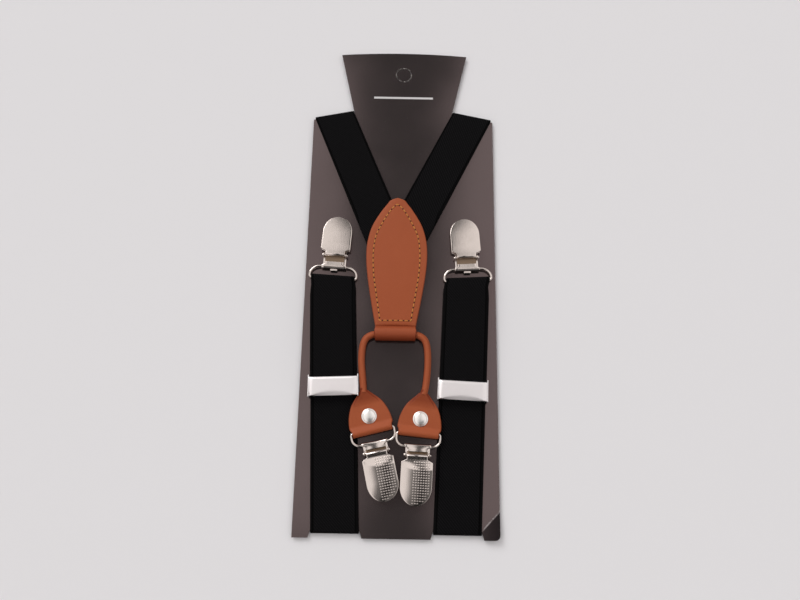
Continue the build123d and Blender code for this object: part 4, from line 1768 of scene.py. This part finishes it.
@dataclass
class Clip:
    """Wire loop, back plate with channel and ears, grip pad and lever of one clip.

    Attributes:
        row: front or back.
        word: left or right.
        studs: the tree that makes the waffle's studs.
        wire: radius of the wire.
        depth: distance between the loop's bars.
        plate: sheet thickness.
        channel: radius of the sheet's middle round the wire.
        roll: radius of the lever's rolled neck.
        paddle: half width of the paddle.
        throat: half width of the lever at its roll.
        round_tip: length and exponent of the paddle's rounded tip.
        ramp: where the shoulders start and end beyond the pivot.
        trunnion: half length and radius of the lever's trunnions.
        band: half widths of the flange and of the band.
    """

    row: Row
    word: str
    studs: Studs
    wire: float = 0.62
    depth: float = 6.7
    plate: float = 0.6
    channel: float = 1.18
    roll: float = 0.95
    paddle: float = 8.1
    throat: float = 5.35
    round_tip: tuple[float, float] = (9.4, 2.05)
    ramp: tuple[float, float] = (2.2, 3.5)
    trunnion: tuple[float, float] = (7.05, 0.6)
    band: tuple[float, float] = (6.8, 5.2)

    def __post_init__(self) -> None:
        """Read the clip's own frame from its joints."""
        tag = f"{self.row.value}_{self.word}"
        hinge = axis_place(f"clip_hinge_{tag}")
        self.tag = tag
        self.place = Place(hinge.origin, -hinge.across, -hinge.along)
        pivot = axis_place(f"lever_hinge_{tag}")
        self.neck = float((pivot.origin - self.place.origin) @ self.place.along)
        self.pivot_z = float(pivot.origin[2] - self.place.origin[2])
        self.front = self.row is Row.FRONT
        self.tip = 29.3 if self.front else 29.2
        self.crown = 0.14 if self.front else 1.1
        right = 1.0 if self.place.across[0] > 0 else -1.0
        self.apex = right * (-0.9 * SIDES[self.word] if self.front else 0.5)

    def build(self) -> None:
        """Make every piece of the clip."""
        self._loop()
        self._body()
        self._pad()
        self._lever()

    def _loop(self) -> None:
        """The closed wire loop."""
        half = 12.8 if self.front else 11.2
        soft = 1.5 if self.front else 1.1
        wide, tall = (5.6, 5.0) if self.front else (4.3, 4.0)
        angles = np.linspace(0, math.pi / 2, 18)
        ring = [(half - wide + wide * math.sin(a), -tall + tall * math.cos(a)) for a in angles]
        ring += [(half, -self.depth + soft + 0.2)]
        ring += arc((half - soft, -self.depth + soft), soft, 0, -90, 9)
        flat = [*ring, *[(-x, y) for x, y in ring[::-1]]]
        dense = resample(np.array([*flat, flat[0]]), 181)[:-1]
        path = np.array([self.place.at(u, v, 0) for u, v in dense])
        wire = tube(f"clip_loop_{self.tag}_wire", path, self.wire, NICKEL, closed=True, sides=16)
        settle(wire, f"clip_loop_{self.tag}", Finish.NICKEL, f"clip_loop_{self.tag}")

    def _paddle_half(self, v: float, wide: float, tip: float) -> float:
        """Half width of a paddle: shoulders, straight sides and a rounded tip.

        Args:
            v: place along it.
            wide: half width of its straight sides.
            tip: v of its tip.

        Returns:
            The half width.
        """
        waist, shoulder = self.neck + self.ramp[0], self.neck + self.ramp[1]
        if v < waist:
            return self.throat
        if v < shoulder:
            return self.throat + (wide - self.throat) * (v - waist) / (shoulder - waist)
        top, power = self.round_tip
        if v > tip - top:
            share = min(1.0, (v - tip + top) / top)
            return max(0.12, wide * (1 - share**power) ** (1 / power))
        return wide

    def _rows(self, start: float, tip: float) -> list[float]:
        """Rows of a paddle, closer together at its shoulders and at its tip.

        Args:
            start: v of the first row.
            tip: v of the tip.

        Returns:
            The v of each row.
        """
        waist, shoulder = self.neck + self.ramp[0], self.neck + self.ramp[1]
        top = self.round_tip[0]
        rows = [v for v in (start, waist - 0.05) if v < waist]
        rows += list(np.linspace(waist, shoulder, 5))
        rows += list(np.linspace(shoulder + 0.3, tip - top, 14))
        rows += [tip - top * (1 - math.sin(a)) for a in np.linspace(0.06, math.pi / 2, 26)]
        return rows

    def _body(self) -> None:
        """Back plate, channel round the wire, band and ears."""
        tip = self.tip - 0.3
        rows = self._rows(self.neck + 1.0, tip)[::-1]
        path = [(v, -self.channel) for v in rows]
        path += [(v, -self.channel) for v in np.linspace(self.neck, 0.4, 6)]
        count = len(path)
        path += arc((0, 0), self.channel, 270, 90, 19)
        path += [(v, self.channel) for v in (0.3, 0.6, 0.9, 1.2, 1.7, 2.1, 2.5)]
        flange, waist = self.band

        def half(v: float, i: int) -> float:
            """Half width of the sheet.

            Args:
                v: place along the clip.
                i: number of the point on the sheet's path.

            Returns:
                The half width.
            """
            if i < len(rows):
                return self._paddle_half(v, self.paddle - 0.3, tip)
            if i < count:
                return 6.35
            if i < count + 19:
                return flange
            pinch = float(np.interp(v, [0.3, 0.9, 1.7, 2.5], [flange, waist, waist, waist]))
            if self.front:
                return pinch
            return float(np.interp(v, [0.3, 1.2, 2.5], [flange, waist - 0.6, waist + 0.5]))

        stations = profile_stations(self.place, path, half, self.plate, flip=True)
        for station in stations[count + 6 :]:
            station.crown = 0.1 if self.front else 0.32
            station.apex = self.apex if self.front else 0.0
        parts = [band("sheet", stations, NICKEL, columns=12, rounds=6, sharp=50.0)]
        for s in (-1, 1):
            parts.append(self._ear(s))
        if self.front:
            corners = ((-1.9, -2.4), (1.9, -2.4), (1.9, -0.9), (-1.9, -0.9))
            lug = [self.place.at(u, v, -0.3) for u, v in corners]
            parts.append(slab("lug", lug, UP * 0.55, NICKEL, 0.2))
        body = joined(f"clip_{self.tag}_plate", parts)
        settle(body, f"clip_{self.tag}", Finish.NICKEL, f"clip_body_{self.tag}")

    def _ear(self, s: int) -> bpy.types.Object:
        """One ear that holds the lever's trunnion.

        Args:
            s: its side, -1 or 1.

        Returns:
            The ear.
        """
        inner = 5.75 * s
        rise = self.pivot_z
        outline = [(self.neck - 1.5, -self.channel), (self.neck - 1.3, rise - 0.2)]
        outline += arc((self.neck, rise), 1.3, 170, 10, 9)
        outline += [(self.neck + 1.3, rise - 0.2), (self.neck + 1.9, -self.channel)]
        corners = [self.place.at(inner, v, z) for v, z in outline]
        return slab("ear", corners, self.place.across * s * self.plate, NICKEL, 0.15)

    def _pad(self) -> None:
        """The grip pad, seen as a brown strip between band and roll."""
        floor = -self.channel + self.plate / 2
        path = [(2.7, floor + 0.35), (self.neck - 1.6, floor + 0.5), (self.neck + 2.0, floor + 0.5)]
        path += [(v, floor + 0.42) for v in np.linspace(self.neck + 3, self.tip - 7, 8)]

        def half(v: float, _: int) -> float:
            """Half width between the ears, wider under the paddle."""
            return float(np.interp(v, [self.neck + 2.2, self.neck + 3.2], [5.3, 6.6]))

        stations = profile_stations(self.place, path, half, 0.6)
        pad = band(f"clip_{self.tag}_grip", stations, GRIP, columns=8)
        settle(pad, f"clip_{self.tag}", Finish.PAD, f"clip_pad_{self.tag}")

    def _lever_z(self, v: float) -> float:
        """Height of the middle of the lever's sheet.

        Args:
            v: place along it.

        Returns:
            The height above the wire's middle.
        """
        start, end = self.neck + 0.6, self.tip
        high = self.pivot_z + 0.3 + self.roll - self.plate / 2
        low = -self.channel + self.plate / 2 + 0.15 + self.plate / 2
        t = min(1.0, max(0.0, (v - start) / (end - start)))
        return high + (low - high) * t

    def _swell(self, v: float, half: float) -> float:
        """Crown of the paddle.

        Args:
            v: place along it.
            half: its half width there.

        Returns:
            How far its middle stands above its edges.
        """
        grow = min(1.0, max(0.0, (v - self.neck - self.ramp[0]) / 4.0))
        return self.crown * grow * min(1.0, half / self.paddle) ** 2

    def _lever(self) -> None:
        """Paddle, rolled neck, trunnions, and the waffle on the back clips."""
        rows = self._rows(self.neck + 0.6, self.tip)
        path = [(v, self._lever_z(v)) for v in rows]
        stations = profile_stations(
            self.place, path, lambda v, i: self._paddle_half(v, self.paddle, self.tip), self.plate
        )
        for (v, _), station in zip(path, stations):
            station.crown = self._swell(v, station.half)
            station.apex = self.apex
        sheet = band("paddle", stations, NICKEL, columns=24, rounds=9, sharp=50.0)
        roll_v, roll_z = self.neck + 0.6, self.pivot_z + 0.3
        ends = [self.place.at(s * self.throat, roll_v, roll_z) for s in (-1, 1)]
        roll = bar("roll", ends[0], ends[1], self.roll, NICKEL)
        reach, radius = self.trunnion
        ends = [self.place.at(s * reach, self.neck, self.pivot_z) for s in (-1, 1)]
        pins = bar("pins", ends[0], ends[1], radius, NICKEL)
        lever = joined(f"clip_lever_{self.tag}_paddle", [sheet, roll, pins])
        settle(lever, f"clip_lever_{self.tag}", Finish.NICKEL, f"clip_lever_{self.tag}")
        if not self.front:
            self._waffle()

    def _waffle(self) -> None:
        """Rows of small pressed studs inside the paddle's rim."""
        pitch, rim, sunk = 1.25, 0.95, 0.035
        spots = []
        for v in np.arange(self.neck + 3.6, self.tip - rim, pitch):
            half = self._paddle_half(v, self.paddle, self.tip)
            reach = self._paddle_half(v + 0.5, self.paddle, self.tip) - rim
            for u in np.arange(-6 * pitch, 6.5 * pitch, pitch):
                if abs(u) < reach and u * self.apex > -0.12 * self.paddle:
                    crown = self._swell(v, half) * crowned(u / half, self.apex)
                    level = self._lever_z(v) + self.plate / 2 + crown - sunk
                    spots.append(self.place.at(u, v, level))
        turn = math.atan2(self.place.along[1], self.place.along[0])
        turns = np.tile([0.0, 0.0, turn], (len(spots), 1))
        name, size = f"clip_lever_{self.tag}_waffle", (0.9, 0.9, 0.2)
        studs = self.studs.make(name, np.array(spots), turns, size, NICKEL, (12, 10))
        settle(studs, f"clip_lever_{self.tag}", Finish.NICKEL)


# ---- studio ---------------------------------------------------------------------------


@dataclass
class Studio:
    """Pale floor, soft surround with a dark gap overhead, one soft lamp and the camera.

    Attributes:
        floor: floor colour.
        surround: brightness of the pale surround.
        gap: start and end of the dark gap's soft edge, as a direction's X, and its brightness.
        near: brightness of the surround on the viewer's side and at the horizon.
        far: how much wider the gap is at the far end.
        key: brightness and angular size of the lamp, degrees.
        key_from: direction to the lamp.
        eye: camera place, m.
        target: point that it looks at, m.
        lens: focal length for a 36 mm sensor.
        roll: camera roll, degrees.
    """

    floor: tuple[float, float, float] = (0.82, 0.815, 0.83)
    surround: float = 0.95
    gap: tuple[float, float, float] = (0.045, 0.09, 0.1)
    near: tuple[float, float] = (0.16, 0.5)
    far: float = 0.025
    key: tuple[float, float] = (1.2, 30.0)
    key_from: tuple[float, float, float] = (-0.48, 0.7, 0.53)
    eye: tuple[float, float, float] = (0.0, -0.1202, 0.3783)
    target: tuple[float, float, float] = (0.0, -0.015, 0.00155)
    lens: float = 32.4
    roll: float = 1.0

    def build(self) -> None:
        """Make all of it."""
        self._floor()
        self._surround()
        self._lamp()
        self._camera()
        bpy.context.scene.view_settings.view_transform = "Standard"

    def _floor(self) -> None:
        """A wide plain floor just under the straps."""
        size, z = 3000.0, -0.15
        corners = np.array([(-size, -size, z), (size, -size, z), (size, size, z), (-size, size, z)])
        floor = mesh_object("floor", corners, [(0, 1, 2, 3)], Plain("floor_paper", self.floor, 0.9, 0.01))

    def _surround(self) -> None:
        """World light: pale all round, dark in a narrow band overhead."""
        world = bpy.data.worlds.new("studio")
        world.use_nodes = True
        bpy.context.scene.world = world
        tree = Tree(world.node_tree.nodes, world.node_tree.links)
        x, y, z = tree.split(tree.node("ShaderNodeTexCoord").outputs["Generated"])
        low, high, dark = self.gap
        far = tree.smooth(y, 0.52, 0.56)
        pale = tree.smooth(tree.math("ABSOLUTE", x) - far * self.far, low, high)
        overhead = tree.smooth(z, 0.3, 0.6)
        gap = 1.0 - (1.0 - pale) * overhead * (1.0 - dark)
        beside = tree.smooth(tree.math("ABSOLUTE", x - 0.12), 0.28, 0.4)
        ahead = tree.smooth(y, -0.12, -0.02)
        viewer = self.near[0] + (1.0 - self.near[0]) * tree.math("MAXIMUM", beside, ahead)
        horizon = self.near[1] + (1.0 - self.near[1]) * tree.smooth(z, 0.0, 0.75)
        level = gap * viewer * horizon
        tone = tree.mix(level, (0.0, 0.0, 0.0, 1.0), (1.0, 0.965, 0.955, 1.0))
        sky = tree.node("ShaderNodeBackground", None, Color=tone, Strength=self.surround)
        out = tree.node("ShaderNodeOutputWorld")
        tree.links.new(sky.outputs[0], out.inputs[0])

    def _lamp(self) -> None:
        """A broad soft sun from the upper left."""
        lamp = bpy.data.lights.new("key", "SUN")
        lamp.energy, lamp.angle = self.key[0], math.radians(self.key[1])
        holder = bpy.data.objects.new("key", lamp)
        holder.rotation_euler = Vector(self.key_from).to_track_quat("Z", "Y").to_euler()
        bpy.context.scene.collection.objects.link(holder)

    def _camera(self) -> None:
        """The camera at the viewing angle."""
        camera = bpy.data.objects.new("camera", bpy.data.cameras.new("camera"))
        camera.data.lens = self.lens
        camera.data.sensor_width = 36.0
        camera.data.clip_start = 0.01
        eye = Vector(self.eye)
        aim = (Vector(self.target) - eye).to_track_quat("-Z", "Y")
        tilt = Matrix.Rotation(math.radians(self.roll), 4, "Z")
        camera.matrix_world = Matrix.Translation(eye) @ aim.to_matrix().to_4x4() @ tilt
        bpy.context.scene.collection.objects.link(camera)
        bpy.context.scene.camera = camera


def main() -> None:
    """Build every sub-assembly in order."""
    logging.basicConfig(level=logging.INFO, format="%(name)s: %(message)s")
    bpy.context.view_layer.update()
    Studio().build()
    studs = Studs()
    HangCard().build()
    for word in SIDES:
        Strap(word).build()
    Patch(studs).build()
    LeatherLoop().build()
    for word in SIDES:
        base = frame["nodes"][f"rivet_base_{word}"]
        base.data.materials.clear()
        base.data.materials.append(NICKEL.build())
        Adjuster(word).build()
        for row in Row:
            Clip(row, word, studs).build()


if __name__ == "__main__":
    main()
